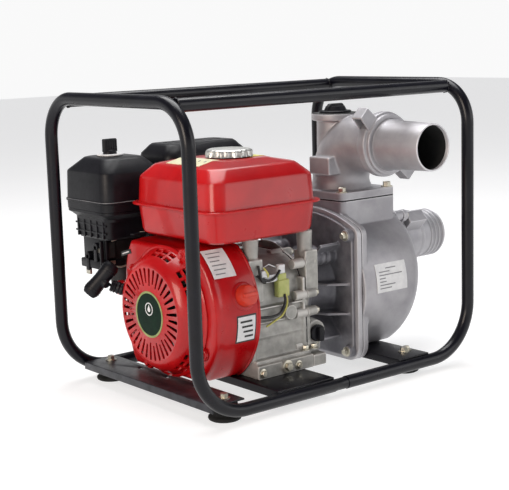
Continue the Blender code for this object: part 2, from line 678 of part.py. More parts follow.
def drum_section(radius, x, front):
    """One section of the casing drum; the front leans out toward the top and the base is flat."""
    loop = []
    for y, z in ring(radius, 40, PUMP_Y, PUMP_Z):
        lean = 0.12 * (z - PUMP_Z) if front else 0.0
        loop.append((x + lean, y, max(z, PLATE_TOP + GAP + PLATE_T + GAP)))
    return loop


def build_casing():
    x0 = FLANGE_X + GAP
    body = [drum_section(PUMP_R - 4, x0, False), drum_section(PUMP_R, 140, False),
            drum_section(PUMP_R, 200, True), drum_section(PUMP_R - 5, 216, True),
            drum_section(PUMP_R - 17, 228, True), drum_section(PUMP_R - 34, 233, True)]
    casing = node("pump_casing", skin(body), "cast_aluminium")
    neck = neck_outline()
    add(casing, prism(flange_outline(), "x", x0, 109), prism(neck, "z", 190, NECK_Z - GAP),
        drum("x", (PUMP_Y, SUCT_Z), [(190, 58), (FRONT_X, 52)], 24),
        drum("x", (PUMP_Y, DRAIN_Z), [(190, 15), (230, 13)], 16))
    hollow = [[(x, PUMP_Y + (y - PUMP_Y) * 0.93, PUMP_Z + (z - PUMP_Z) * 0.93 + 1.5) for x, y, z in
               drum_section(radius, x, front)] for radius, x, front in
              ((PUMP_R - 5, x0 - 2, False), (PUMP_R, 200, True), (PUMP_R - 12, 222, True))]
    cut(casing, skin(hollow),
        drum("z", (NECK_X, NECK_Y), [(200, 38), (NECK_Z + 5, 38)]),
        drum("x", (PUMP_Y, SUCT_Z), [(170, 37), (FRONT_X + 16, 37)]),
        drum("x", (PUMP_Y, DRAIN_Z), [(180, 6.4), (240, 6.4)], 12))
    node("pump_drain_plug", drum("x", (PUMP_Y, DRAIN_Z), [(206, 6), (230.3, 6), (230.4, 9), (238, 9)], 12),
         "steel")


def build_pump_inside():
    centre = (CRANK_Y, CRANK_Z)
    disc = [(101, 8.6), (131, 8.6), (131, 15), (110, 20), (107, 66), (101, 66)]
    impeller = node("impeller", turned_ring("x", centre, disc, 24), "cast_iron", (112.0, *centre))
    for k in range(4):
        vane = box(106, 118, CRANK_Y + 17, CRANK_Y + 64, CRANK_Z - 2.5, CRANK_Z + 2.5)
        turn(vane, radians(35), "X", (0, CRANK_Y + 40, CRANK_Z))
        add(impeller, turn(vane, radians(90 * k), "X", (0, *centre)))
    volute = [(104, 70), (104, 78), (128, 78), (128, 30), (124, 30), (124, 70)]
    node("volute", turned_ring("x", centre, volute, 28), "cast_iron")


def neck_outline():
    """Joint face between casing and elbow; its engine side stops short of the flange."""
    return round_box(NECK_X - NECK_HALF + 5.8, NECK_X + NECK_HALF, NECK_Y - NECK_HALF, NECK_Y + NECK_HALF,
                     12, 3)


def elbow_path():
    run = [(NECK_X, NECK_Y, NECK_Z + 14)]
    for u, v in arc(0, 0, 60, 0, 90, 7):
        run.append((NECK_X, NECK_Y - 60 + u, OUT_Z - 60 + v))
    return run + [(NECK_X, -92, OUT_Z)]


def build_elbow():
    x, y = NECK_X, NECK_Y
    elbow = node("discharge_elbow", prism(neck_outline(), "z", NECK_Z, NECK_Z + 12), "cast_aluminium")
    path = elbow_path()
    add(elbow, drum("z", (x, y), [(NECK_Z + 5, 49), (NECK_Z + 24, 47)], 24), tube(path, 45, 24),
        drum("z", (x - 2, y + 8), [(330, 29), (397, 29)], 24),
        drum("z", (x - 2, y + 8), [(396, 38), (405, 38)], 24),
        box(x - 56, x - 20, y - 34, y + 8, 302, 330))
    bore = [(x, y, NECK_Z - 10)] + path[1:-1] + [(x, -110, OUT_Z)]
    cut(elbow, tube(bore, 37, 20), drum("z", (x - 2, y + 8), [(370, 22), (415, 22)], 20))
    cap = node("priming_cap", drum("z", (x - 2, y + 8), [(405.4, 25), (409, 25), (420, 18)], 20),
               "black_plastic", (x - 2, y + 8, 405.0))
    add(cap, drum("z", (x - 2, y + 8), [(392, 21.5), (406.5, 21.5)], 20))


def coupling(name, axis, centre, a0, a1, radius, bore, lug_angles, lug_reach):
    """Hose coupling ring with cast lugs; a0 to a1 is its span along the axis."""
    outline = [(a0, bore), (a1, bore), (a1, radius - 3), (a1 - 6, radius), (a0, radius)]
    if axis == "y":
        outline = [(a0, bore), (a1, bore), (a1, radius), (a0 + 6, radius), (a0, radius - 3)]
        pivot = (centre[1], (a0 + a1) / 2, centre[0])
    else:
        pivot = ((a0 + a1) / 2, *centre)
    ring_body = node(name, turned_ring(axis, centre, outline, 24), "cast_aluminium", pivot)
    for angle in lug_angles:
        u0, u1 = bore + 1, radius + lug_reach
        corners = [(u0, -13), (u1, -10), (u1, 10), (u0, 13)]
        spun = [(centre[0] + u * cos(radians(angle)) - v * sin(radians(angle)),
                 centre[1] + u * sin(radians(angle)) + v * cos(radians(angle))) for u, v in corners]
        add(ring_body, prism(spun, axis, a0 + 3, a1 - 3))


def build_discharge():
    centre = (OUT_Z, NECK_X)
    coupling("discharge_coupling_ring", "y", centre, -118, -92.3, 50, 39.5, (-45, 135), 22)
    outline = [(-94, 33), (OUT_END, 33), (OUT_END, 35.5), (-150, 37), (-118.4, 39), (-94, 39)]
    node("discharge_hose_tail", turned_ring("y", centre, outline, 24), "cast_aluminium")


def build_suction():
    centre = (PUMP_Y, SUCT_Z)
    x0 = FRONT_X + GAP
    flange = node("suction_flange", drum("x", centre, [(x0, 54), (x0 + 9, 54)], 24), "cast_aluminium")
    corners = [(PUMP_Y + u, SUCT_Z + v) for u, v in ((51, 51), (-51, 51), (-51, -51), (51, -51))]
    add(flange, drum("x", centre, [(x0 + 8, 38.2), (x0 + 34, 37)], 24), prism(corners, "x", x0, x0 + 9))
    cut(flange, drum("x", centre, [(x0 - 5, 33), (x0 + 50, 33)], 24))
    coupling("suction_coupling_ring", "x", centre, x0 + 9.4, x0 + 62, 43, 38.6, (140, 320), 21)
    barbs = [(x0 + 34.4, 33.5), (SUCT_END, 33.5), (SUCT_END, 37)]
    for k in range(4):
        barbs += [(SUCT_END - 6 - 9 * k, 40), (SUCT_END - 7 - 9 * k, 37.5)]
    barbs += [(x0 + 62, 37.8), (x0 + 34.4, 37.8)]
    node("suction_hose_tail", turned_ring("x", centre, barbs, 28), "cast_aluminium")
    node("check_valve_flap", drum("x", centre, [(FRONT_X - 26, 34), (FRONT_X - 22, 35)], 20), "rubber",
         (FRONT_X - 24, PUMP_Y, SUCT_Z + 30))


# ---------------------------------------------------------------- main

def main():
    build_cage()
    build_plates()
    build_feet()
    build_crankcase()
    build_side_cover()
    build_head()
    build_crank()
    build_piston_and_rod()
    build_camshaft()
    build_flywheel()
    build_ignition()
    build_shroud()
    build_recoil()
    build_rope()
    build_grip()
    build_tank()
    build_air_cleaner()
    build_carburettor()
    build_muffler()
    build_controls()
    build_bracket()
    build_casing()
    build_pump_inside()
    build_elbow()
    build_discharge()
    build_suction()


clear_scene()
ROOT = make_root()
MATERIALS = {name: make_finish(name) for name in FINISHES}
main()
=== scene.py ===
"""Portable fire pump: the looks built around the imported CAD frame.

Shapes are drawn in millimetres in the cage's own frame, like the part's source: x runs along the
crankshaft from the recoil starter (-x) to the pump (+x), -y is the discharge side, z is up from 10 mm
under the rubber feet. put() turns them into metres in the row frame.
"""
import json
from math import acos, cos, degrees, pi, radians, sin, sqrt

import bmesh
import bpy
from mathutils import Matrix, Vector


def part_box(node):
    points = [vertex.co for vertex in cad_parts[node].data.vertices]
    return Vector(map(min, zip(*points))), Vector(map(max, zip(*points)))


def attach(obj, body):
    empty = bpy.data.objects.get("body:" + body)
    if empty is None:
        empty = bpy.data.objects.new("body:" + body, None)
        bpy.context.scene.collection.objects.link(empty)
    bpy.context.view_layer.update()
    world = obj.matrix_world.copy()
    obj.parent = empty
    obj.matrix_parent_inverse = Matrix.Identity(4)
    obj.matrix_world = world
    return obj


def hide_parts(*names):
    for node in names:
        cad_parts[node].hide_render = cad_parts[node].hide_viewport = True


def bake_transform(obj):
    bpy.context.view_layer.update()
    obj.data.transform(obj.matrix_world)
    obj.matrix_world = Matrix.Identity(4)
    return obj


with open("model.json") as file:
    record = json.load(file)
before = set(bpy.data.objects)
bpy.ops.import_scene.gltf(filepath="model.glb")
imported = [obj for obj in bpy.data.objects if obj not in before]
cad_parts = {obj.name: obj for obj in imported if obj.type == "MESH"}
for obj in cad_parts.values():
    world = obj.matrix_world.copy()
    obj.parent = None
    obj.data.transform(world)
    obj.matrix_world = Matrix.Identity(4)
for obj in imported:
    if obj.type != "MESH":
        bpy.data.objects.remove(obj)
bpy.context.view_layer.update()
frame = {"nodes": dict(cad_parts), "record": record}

MM = 0.001
MACHINE = "machine"

# Sizes shared with the part, in mm
TUBE_R = 9.5
CAGE_X, CAGE_Y = 266.0, 174.0
RAIL_LOW, RAIL_TOP = 27.5, 448.0
BEND_LOW, BEND_TOP = 80.0, 60.0
TOP_RAIL_Y = 136.0
PLATE_TOP, PLATE_T = 37.3, 2.5
CRANK = (-3.0, 139.0)
CYL_TILT = radians(25.0)
CYL_X = -60.0
DECK = 134.0
CASE_X0, CASE_X1 = -112.0, -6.0
SHROUD_X0, SHROUD_X1, SHROUD_R = -190.0, -113.0, 119.0
RECOIL_FACE, RECOIL_R = -223.0, 73.0
PULL_TILT = radians(25.0)
GRIP_LEAN = radians(35.0)
CAP = (-80.0, -18.0)
KNOB = (-166.0, 172.0)
PUMP = (-3.0, 137.0)
PUMP_R = 117.0
JOINT_X = 97.5               # face between pump bracket and casing
NECK = (155.0, -5.0)
NECK_HALF = 62.5
NECK_Z = 274.0
OUT_Z = 360.0
SUCTION = (-3.0, 189.0)
DRAIN_Z = 62.0
SEAM_Z = 290.0               # tank's welded seam
ROPE_EXIT = (-227.5, 90.0, 169.8)
PRIMING = (NECK[0] - 2, NECK[1] + 8)
QUARTERS = (45, 135, 225, 315)
COVER_BOLTS = ((-91, 196), (-95, 149), (-96, 122), (-92, 72), (84, 72), (84, 130), (-40, 204), (40, 204))
FLANGE_BOLTS = tuple((PUMP[0] + side * 93, z) for side in (-1, 1) for z in (45, 226))

hoop_low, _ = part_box("frame_hoop_engine_end")
_, hoop_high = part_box("frame_hoop_pump_end")
CAGE_ORIGIN = Vector(((hoop_low.x + hoop_high.x) / 2, (hoop_low.y + hoop_high.y) / 2,
                      hoop_low.z - (RAIL_LOW - TUBE_R) * MM))


def span(node):
    """Lowest and highest corner of a CAD node in the cage's frame, in mm."""
    low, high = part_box(node)
    return (low - CAGE_ORIGIN) / MM, (high - CAGE_ORIGIN) / MM


# ---------------------------------------------------------------- materials

def shader_of(name):
    material = bpy.data.materials.new(name)
    material.use_nodes = True
    return material, material.node_tree, material.node_tree.nodes["Principled BSDF"]


def noise_node(tree, scale, detail=4.0, rough=0.55):
    coords = tree.nodes.new("ShaderNodeTexCoord")
    texture = tree.nodes.new("ShaderNodeTexNoise")
    texture.inputs["Scale"].default_value = scale
    texture.inputs["Detail"].default_value = detail
    texture.inputs["Roughness"].default_value = rough
    tree.links.new(coords.outputs["Object"], texture.inputs["Vector"])
    return texture


def ramp_node(tree, source, low, high, at=(0.35, 0.65)):
    ramp = tree.nodes.new("ShaderNodeValToRGB")
    ramp.color_ramp.elements[0].position, ramp.color_ramp.elements[1].position = at
    ramp.color_ramp.elements[0].color = (*low, 1.0)
    ramp.color_ramp.elements[1].color = (*high, 1.0)
    tree.links.new(source, ramp.inputs["Fac"])
    return ramp.outputs["Color"]


def finish(name, low, high, rough, metal=0.0, patch=40.0, grain=1500.0, grain_depth=0.00004, coat=0.0,
           edge=None, rough_spread=0.08, spec=0.5):
    """Surface with two mottled tones, uneven gloss, a fine bump and, where edge is given, a lighter tone on
    sharp convex edges.
    """
    material, tree, shader = shader_of(name)
    mottle = noise_node(tree, patch)
    low, high = [tone if isinstance(tone, tuple) else (tone, tone, tone) for tone in (low, high)]
    colour = ramp_node(tree, mottle.outputs["Fac"], low, high)
    if edge is not None:
        geometry = tree.nodes.new("ShaderNodeNewGeometry")
        edge_tone = ramp_node(tree, geometry.outputs["Pointiness"], (0, 0, 0), (1, 1, 1), (0.515, 0.56))
        mix = tree.nodes.new("ShaderNodeMix")
        mix.data_type = "RGBA"
        tree.links.new(edge_tone, mix.inputs["Factor"])
        tree.links.new(colour, mix.inputs["A"])
        mix.inputs["B"].default_value = (*edge, 1.0)
        colour = mix.outputs["Result"]
    tree.links.new(colour, shader.inputs["Base Color"])
    gloss = noise_node(tree, patch * 3)
    spread = tree.nodes.new("ShaderNodeMapRange")
    spread.inputs["To Min"].default_value = max(rough - rough_spread, 0.02)
    spread.inputs["To Max"].default_value = rough + rough_spread
    tree.links.new(gloss.outputs["Fac"], spread.inputs["Value"])
    tree.links.new(spread.outputs["Result"], shader.inputs["Roughness"])
    fine = noise_node(tree, grain, 3.0)
    bump = tree.nodes.new("ShaderNodeBump")
    bump.inputs["Strength"].default_value = 0.6
    bump.inputs["Distance"].default_value = grain_depth
    tree.links.new(fine.outputs["Fac"], bump.inputs["Height"])
    tree.links.new(bump.outputs["Normal"], shader.inputs["Normal"])
    shader.inputs["Metallic"].default_value = metal
    shader.inputs["Coat Weight"].default_value = coat
    shader.inputs["Coat Roughness"].default_value = 0.08
    shader.inputs["Specular IOR Level"].default_value = spec
    return material


def make_finishes():
    """Finish for each record slot, and for the trim that has none."""
    return {
        "black_paint": finish("black_enamel", (0.002, 0.002, 0.004), (0.004, 0.004, 0.008), 0.3, patch=25,
                              grain=700, grain_depth=0.00006, coat=0.1, spec=0.25),
        "grey_steel": finish("rolled_steel", (0.012, 0.013, 0.017), (0.035, 0.037, 0.045), 0.36, 0.3,
                             patch=60),
        "rubber": finish("moulded_rubber", 0.006, 0.014, 0.8, patch=80, grain=2500, spec=0.3),
        "cast_aluminium": finish("pump_casting", (0.31, 0.303, 0.322), (0.39, 0.382, 0.40), 0.46, 0.45,
                                 patch=30, grain=2200, grain_depth=0.00007, edge=(0.6, 0.59, 0.61)),
        "engine_aluminium": finish("engine_casting", (0.26, 0.255, 0.238), (0.39, 0.38, 0.355), 0.5, 0.4,
                                   patch=55, grain=1000, grain_depth=0.0003, edge=(0.6, 0.58, 0.55)),
        "red_paint": finish("red_enamel", (0.35, 0.001, 0.003), (0.48, 0.004, 0.005), 0.3, patch=14,
                            grain=600, grain_depth=0.00004, coat=0.3, spec=0.3),
        "black_plastic": finish("black_plastic", (0.003, 0.003, 0.005), (0.007, 0.007, 0.010), 0.42, patch=50,
                                grain=3500, grain_depth=0.00004, spec=0.25),
        "chrome": finish("plated_steel", (0.50, 0.50, 0.48), (0.64, 0.64, 0.61), 0.36, 0.85, patch=60,
                         grain=500, grain_depth=0.00001, rough_spread=0.05),
        "steel": finish("turned_steel", 0.38, (0.52, 0.52, 0.51), 0.3, 1.0, patch=90),
        "cast_iron": finish("dark_casting", (0.012, 0.012, 0.013), (0.035, 0.034, 0.034), 0.6, 0.4, patch=60,
                            grain=1400, grain_depth=0.00015),
        "orange_plastic": finish("orange_plastic", (0.50, 0.022, 0.008), (0.60, 0.036, 0.012), 0.4, patch=40,
                                 grain=3000, grain_depth=0.00002),
        "yellow_plastic": finish("yellow_plastic", (0.34, 0.38, 0.10), (0.46, 0.46, 0.17), 0.45, patch=60,
                                 grain=3000, grain_depth=0.00002),
        "foam": finish("filter_foam", 0.05, 0.12, 0.95, patch=400, grain=900, grain_depth=0.0004),
        "rope": finish("braided_rope", 0.012, 0.05, 0.85, patch=600, grain=1200, grain_depth=0.0003),
        # painted shade: a darker, bluer copy of the casting colour for the recess inside the pump bracket,
        # where shadow falls
        "painted_shade_casting": finish("painted_shade_casting", (0.12, 0.119, 0.135), (0.20, 0.197, 0.215), 0.52, 0.45, patch=40,
                              grain=1100, grain_depth=0.00025, edge=(0.36, 0.35, 0.37)),
        "zinc": finish("zinc_plate", (0.42, 0.40, 0.33), (0.60, 0.57, 0.48), 0.3, 0.9, patch=120),
        "dark": finish("inside_shadow", 0.004, 0.010, 0.8),
        "white_label": finish("white_label", (0.62, 0.62, 0.63), 0.72, 0.35, patch=90),
        "black_label": finish("black_label", 0.006, 0.012, 0.35),
        "yellow_label": finish("yellow_label", (0.62, 0.55, 0.05), (0.70, 0.62, 0.08), 0.35, patch=90),
        "cream_label": finish("cream_label", (0.68, 0.66, 0.42), (0.76, 0.74, 0.52), 0.32, patch=90),
        "green_label": finish("green_label", (0.001, 0.010, 0.005), (0.002, 0.018, 0.008), 0.6, patch=60,
                              spec=0.15),
        "gold_label": finish("gold_rim", (0.20, 0.26, 0.08), (0.30, 0.34, 0.12), 0.35, 0.3, patch=60),
        "ink": finish("grey_ink", (0.16, 0.16, 0.17), (0.24, 0.24, 0.25), 0.5),
        "gasket": finish("gasket", 0.010, 0.02, 0.7),
        "wire_black": finish("black_wire", 0.010, 0.02, 0.5),
        "wire_yellow": finish("yellow_wire", (0.42, 0.40, 0.08), (0.52, 0.48, 0.12), 0.45),
    }


# ---------------------------------------------------------------- outlines and solids, in mm

def arc(cx, cy, r, a0, a1, steps):
    turns = [radians(a0 + (a1 - a0) * i / steps) for i in range(steps + 1)]
    return [(cx + r * cos(a), cy + r * sin(a)) for a in turns]


def ring(r, sides, cx=0.0, cy=0.0):
    return [(cx + r * cos(2 * pi * i / sides), cy + r * sin(2 * pi * i / sides)) for i in range(sides)]


def round_box(x0, x1, y0, y1, r, steps=8):
    points = arc(x1 - r, y1 - r, r, 0, 90, steps)
    points += arc(x0 + r, y1 - r, r, 90, 180, steps)
    points += arc(x0 + r, y0 + r, r, 180, 270, steps)
    points += arc(x1 - r, y0 + r, r, 270, 360, steps)
    return points


def around(centre, r, angles):
    """Points on a circle at angles in degrees."""
    return [(centre[0] + r * cos(radians(a)), centre[1] + r * sin(radians(a))) for a in angles]


def place(points, axis, along):
    """2D points on the plane across an axis: x -> (y, z), y -> (z, x), z -> (x, y)."""
    if axis == "x":
        return [(along, u, v) for u, v in points]
    if axis == "y":
        return [(v, along, u) for u, v in points]
    return [(u, v, along) for u, v in points]


def stack(low, high, rows, steps=9):
    """Rounded rectangles one above another in a box: rows of (inset, height, corner radius)."""
    return [place(round_box(low.x + i, high.x - i, low.y + i, high.y - i, r, steps), "z", z)
            for i, z, r in rows]


def skin(loops, capped=True):
    bm = bmesh.new()
    rows = [[bm.verts.new(p) for p in loop] for loop in loops]
    pairs = list(zip(rows, rows[1:]))
    if not capped:
        pairs.append((rows[-1], rows[0]))
    count = len(rows[0])
    for low, high in pairs:
        for i in range(count):
            j = (i + 1) % count
            bm.faces.new((low[i], low[j], high[j], high[i]))
    if capped:
        bm.faces.new(list(reversed(rows[0])))
        bm.faces.new(rows[-1])
    bmesh.ops.recalc_face_normals(bm, faces=bm.faces)
    return bm


def prism(points, axis, a0, a1):
    return skin([place(points, axis, a0), place(points, axis, a1)])


def box(x0, x1, y0, y1, z0, z1):
    return prism([(x0, y0), (x1, y0), (x1, y1), (x0, y1)], "z", z0, z1)


def soft_box(x0, x1, y0, y1, z0, z1, r=1.0, segments=2):
    """Box with rounded edges."""
    bm = box(x0, x1, y0, y1, z0, z1)
    bmesh.ops.bevel(bm, geom=list(bm.edges), offset=r, segments=segments, profile=0.5, affect="EDGES",
                    clamp_overlap=True)
    return bm


def drum(axis, centre, stations, sides=48):
    return skin([place(ring(r, sides, *centre), axis, along) for along, r in stations])


def turned_ring(axis, centre, outline, sides=64):
    return skin([place(ring(r, sides, *centre), axis, along) for along, r in outline], capped=False)


def rounded(stations, r=1.0, steps=3):
    """Stations of a turned body with its two end edges rounded."""
    (a0, r0), (a1, r1) = stations[0], stations[-1]
    sense = 1 if a1 > a0 else -1
    first = [(a0 + sense * r * (1 - cos(t)), r0 - r * (1 - sin(t))) for t in
             [pi / 2 * i / steps for i in range(steps + 1)]]
    last = [(a1 - sense * r * (1 - cos(t)), r1 - r * (1 - sin(t))) for t in
            [pi / 2 * i / steps for i in range(steps, -1, -1)]]
    return first + stations[1:-1] + last


def tube(path, radius, sides=20, taper=None):
    """Round bar along 3D points with mitred turns; taper gives a radius for each point."""
    points = [Vector(p) for p in path]
    loops, side = [], None
    for i, point in enumerate(points):
        before, after = points[max(i - 1, 0)], points[min(i + 1, len(points) - 1)]
        along = (after - before).normalized()
        if side is None:
            hint = Vector((0, 0, 1)) if abs(along.z) < 0.9 else Vector((0, 1, 0))
            side = along.cross(hint)
        side = (side - along * side.dot(along)).normalized()
        third = along.cross(side)
        r = radius if taper is None else taper[i]
        loops.append([point + (side * cos(2 * pi * k / sides) + third * sin(2 * pi * k / sides)) * r
                      for k in range(sides)])
    return skin(loops)


def smooth_path(points, steps=8):
    """Catmull-Rom curve through points."""
    knots = [Vector(p) for p in points]
    knots = [2 * knots[0] - knots[1]] + knots + [2 * knots[-1] - knots[-2]]
    out = []
    for a, b, c, d in zip(knots, knots[1:], knots[2:], knots[3:]):
        for k in range(steps):
            t = k / steps
            out.append(0.5 * (2 * b + (c - a) * t + (2 * a - 5 * b + 4 * c - d) * t ** 2
                              + (3 * b - a - 3 * c + d) * t ** 3))
    return out + [knots[-2]]


def turn(bm, angle, axis, centre):
    bmesh.ops.rotate(bm, verts=bm.verts, cent=Vector(centre), matrix=Matrix.Rotation(angle, 3, axis))
    return bm


def shift(bm, x=0.0, y=0.0, z=0.0):
    bmesh.ops.translate(bm, verts=bm.verts, vec=(x, y, z))
    return bm


def tilt(bm):
    """From the cylinder's own directions (y along the bore) to the cage's frame."""
    turn(bm, CYL_TILT, "X", (0, 0, 0))
    return shift(bm, 0, CRANK[0], CRANK[1])


def together(solids):
    """Several solids as one mesh."""
    whole = bmesh.new()
    for bm in solids:
        mesh = bpy.data.meshes.new("part")
        bm.to_mesh(mesh)
        bm.free()
        whole.from_mesh(mesh)
        bpy.data.meshes.remove(mesh)
    return whole


def aim(bm, direction, at):
    """Move a solid drawn up +z at the origin so that it stands at a point, along a direction."""
    turn_to = Vector((0, 0, 1)).rotation_difference(Vector(direction)).to_matrix()
    bmesh.ops.rotate(bm, verts=bm.verts, cent=(0, 0, 0), matrix=turn_to)
    return shift(bm, *at)


# ---------------------------------------------------------------- objects

def bake(obj):
    """Replace an object's mesh with what its modifiers make of it."""
    graph = bpy.context.evaluated_depsgraph_get()
    graph.update()
    mesh = bpy.data.meshes.new_from_object(obj.evaluated_get(graph))
    obj.modifiers.clear()
    obj.data = mesh
    return obj


def put(name, solids, angle=40.0):
    """Object from a solid, or a list of them, in the cage's frame, placed in the row frame."""
    bm = together(solids) if isinstance(solids, list) else solids
    bmesh.ops.recalc_face_normals(bm, faces=bm.faces)
    bmesh.ops.transform(bm, verts=bm.verts, matrix=Matrix.Translation(CAGE_ORIGIN) @ Matrix.Scale(MM, 4))
    mesh = bpy.data.meshes.new(name)
    bm.to_mesh(mesh)
    bm.free()
    obj = bpy.data.objects.new(name, mesh)
    bpy.context.collection.objects.link(obj)
    shade(obj, angle)
    return obj


def shade(obj, angle=40.0):
    obj.data.shade_smooth()
    obj.data.set_sharp_from_angle(angle=radians(angle))


def soften(obj, width, segments=3, angle=30.0):
    step = obj.modifiers.new("edges", "BEVEL")
    step.width = width * MM
    step.segments = segments
    step.limit_method = "ANGLE"
    step.angle_limit = radians(angle)
    step.use_clamp_overlap = True
    step.harden_normals = False
    return obj


def combine(obj, solid, operation, solver="EXACT"):
    tool = put(obj.name + "_tool", solid)
    step = obj.modifiers.new("combine", "BOOLEAN")
    step.operation = operation
    step.solver = solver
    step.object = tool
    bake(obj)
    bpy.data.objects.remove(tool, do_unlink=True)
    return obj


def dress(obj, slot, body=MACHINE, stands_for=(), paint=None):
    """Material from the paint, or else from the record slot's finish; body; and the CAD nodes that the piece
    stands for, hidden.
    """
    obj.data.materials.clear()
    obj.data.materials.append(FINISH[paint or slot])
    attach(obj, body)
    if stands_for:
        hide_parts(*stands_for)
    return obj


def piece(name, solids, slot, body=MACHINE, stands_for=(), bevel=0.0, angle=40.0, paint=None, cuts=None):
    """Finished piece: solids in the cage's frame, less the cutters, with its edges rounded by bevel."""
    obj = put(name, solids, angle)
    if cuts is not None:
        combine(obj, cuts, "DIFFERENCE")
    if bevel:
        soften(obj, bevel)
        bake(obj)
    shade(obj, angle)
    return dress(obj, slot, body, stands_for, paint)


def casting(name, solids, slot, body=MACHINE, stands_for=(), voxel=1.5, rounds=5, cuts=(), paint=None):
    """Overlapping solids melted into one skin with small fillets, then cut by each cutter in turn."""
    obj = put(name, solids)
    melt = obj.modifiers.new("melt", "REMESH")
    melt.mode = "VOXEL"
    melt.voxel_size = voxel * MM
    melt.adaptivity = 0.0
    relax = obj.modifiers.new("relax", "SMOOTH")
    relax.factor = 0.5
    relax.iterations = rounds
    bake(obj)
    for cutter in cuts:
        combine(obj, cutter, "DIFFERENCE", "MANIFOLD")
    shade(obj, 35)
    return dress(obj, slot, body, stands_for, paint)


def hex_bolt(at, direction, size=8.0, head=5.5, washer=True):
    """Hexagon head with a chamfered top, on a washer, standing along a direction."""
    across = size * 0.58
    bm = skin([place(ring(across, 6), "z", 0), place(ring(across, 6), "z", head - 0.8),
               place(ring(across * 0.86, 6), "z", head)])
    solids = [bm]
    if washer:
        solids[0] = shift(bm, z=1.2)
        solids.append(drum("z", (0, 0), [(-0.2, size * 0.86), (1.0, size * 0.86), (1.3, size * 0.8)], 24))
    return aim(together(solids), direction, at)


# ---------------------------------------------------------------- cage

def hoop_path(end):
    x, low, half_gap = end * CAGE_X, RAIL_LOW + BEND_LOW, end * 0.15
    run = [(half_gap, -CAGE_Y, RAIL_LOW), (end * 22, -CAGE_Y, RAIL_LOW), (end * 24, -CAGE_Y, RAIL_LOW)]
    for u, v in arc(0, 0, BEND_LOW, 270, 360, 20):
        run.append((x - end * BEND_LOW + end * u, -CAGE_Y, low + v))
    for u, v in arc(0, 0, BEND_TOP, 180, 90, 18):
        run.append((x, -CAGE_Y + BEND_TOP + u, RAIL_TOP - BEND_TOP + v))
    return run + [(px, -py, pz) for px, py, pz in reversed(run)]


def weld_bead(at, axis, radius, thick=2.6, sides=40):
    """Lumpy ring of weld round a tube."""
    loops = []
    for i in range(sides):
        a = 2 * pi * i / sides
        lump = thick * (0.8 + 0.28 * sin(i * 2.1) + 0.12 * sin(i * 5.3))
        loops.append([(lump * cos(b) * 0.8, (radius + lump * 0.7 * sin(b)) * cos(a),
                       (radius + lump * 0.7 * sin(b)) * sin(a)) for b in [2 * pi * k / 8 for k in range(8)]])
    bm = skin(loops, capped=False)
    bmesh.ops.rotate(bm, verts=bm.verts, cent=(0, 0, 0),
                     matrix=Vector((1, 0, 0)).rotation_difference(Vector(axis)).to_matrix())
    return shift(bm, *at)


def build_cage():
    for name, end in (("frame_hoop_engine_end", -1), ("frame_hoop_pump_end", 1)):
        path = hoop_path(end)
        swage = 0.9 if end < 0 else 0.0
        taper = [TUBE_R - swage if i < 2 or i >= len(path) - 2 else TUBE_R for i in range(len(path))]
        piece(name + "_tube", tube(path, TUBE_R, 32, taper), "black_paint", stands_for=[name], angle=60)
    drop = BEND_TOP - sqrt(BEND_TOP ** 2 - (TOP_RAIL_Y - CAGE_Y + BEND_TOP) ** 2)
    reach, z = CAGE_X - TUBE_R - 0.3, RAIL_TOP - drop
    for name, y in (("top_rail_near", -TOP_RAIL_Y), ("top_rail_far", TOP_RAIL_Y)):
        piece(name + "_tube", tube([(-reach, y, z), (0, y, z), (reach, y, z)], TUBE_R, 32), "black_paint",
              stands_for=[name], angle=60)
    beads = [weld_bead((end * (reach + 0.2), y, z), (1, 0, 0), TUBE_R - 0.6) for end in (-1, 1)
             for y in (-TOP_RAIL_Y, TOP_RAIL_Y)]
    piece("rail_weld_beads", beads, "black_paint", angle=80)


def channel(x0, x1, lip0, lip1, y_end, t=PLATE_T):
    """Folded cross plate: flat top with a lip down one or both long edges."""
    z1 = PLATE_TOP + t
    outline = [(x0, z1 - lip0), (x0, z1), (x1, z1), (x1, z1 - lip1), (x1 - t, z1 - lip1), (x1 - t, z1 - t),
               (x0 + t, z1 - t), (x0 + t, z1 - lip0)]
    if lip1 <= t:
        outline = [(x0, z1 - lip0), (x0, z1), (x1, z1), (x1, z1 - t), (x0 + t, z1 - t), (x0 + t, z1 - lip0)]
    return skin([[(x, y, z) for x, z in outline] for y in (-y_end, y_end)])


def build_plates():
    low, high = span("engine_end_plate")
    holes = [drum("z", (-194, y), [(30, 4.2), (45, 4.2)], 20) for y in (-70, 0, 70)]
    piece("engine_end_cross_plate", channel(low.x, high.x, 11.5, 0, high.y), "grey_steel",
          stands_for=["engine_end_plate"], bevel=0.9, cuts=holes)
    low, high = span("pump_end_plate")
    piece("pump_cross_plate", channel(low.x, high.x, 11.5, 11.5, high.y), "black_paint",
          stands_for=["pump_end_plate"], bevel=0.9)
    low, high = span("engine_bed_plate")
    slots = [prism(round_box(-112, -42, -52, 52, 12), "z", 20, 60)]
    piece("engine_bed_cross_plate", channel(low.x, high.x, 11.5, 11.5, high.y), "black_paint",
          stands_for=["engine_bed_plate"], bevel=0.9, cuts=slots)
    bolts = []
    for number in (1, 2, 3, 4):
        low, high = span(f"rubber_foot_{number}")
        x, y, r = (low.x + high.x) / 2, (low.y + high.y) / 2, (high.x - low.x) / 2
        profile = ((0, 3), (1.2, 1), (3.5, 0), (5.5, 0.6), (6.8, 3.5), (9, 5.2), (18, 5), (21, 4.6))
        stations = [(low.z + rise, r - inset) for rise, inset in profile]
        stations += [(high.z - 1, r - 5.5), (high.z, r - 7)]
        piece(f"rubber_mount_{number}", drum("z", (x, y), stations, 40), "rubber",
              stands_for=[f"rubber_foot_{number}"], angle=50)
        bolts.append(hex_bolt((x, y, PLATE_TOP + PLATE_T), (0, 0, 1), 10, 6))
    for y in (-140, 56):
        bolts.append(hex_bolt((162, y, PLATE_TOP + PLATE_T), (0, 0, 1), 9, 5.5))
    piece("plate_bolts", bolts, "steel", paint="zinc")


# ---------------------------------------------------------------- engine castings

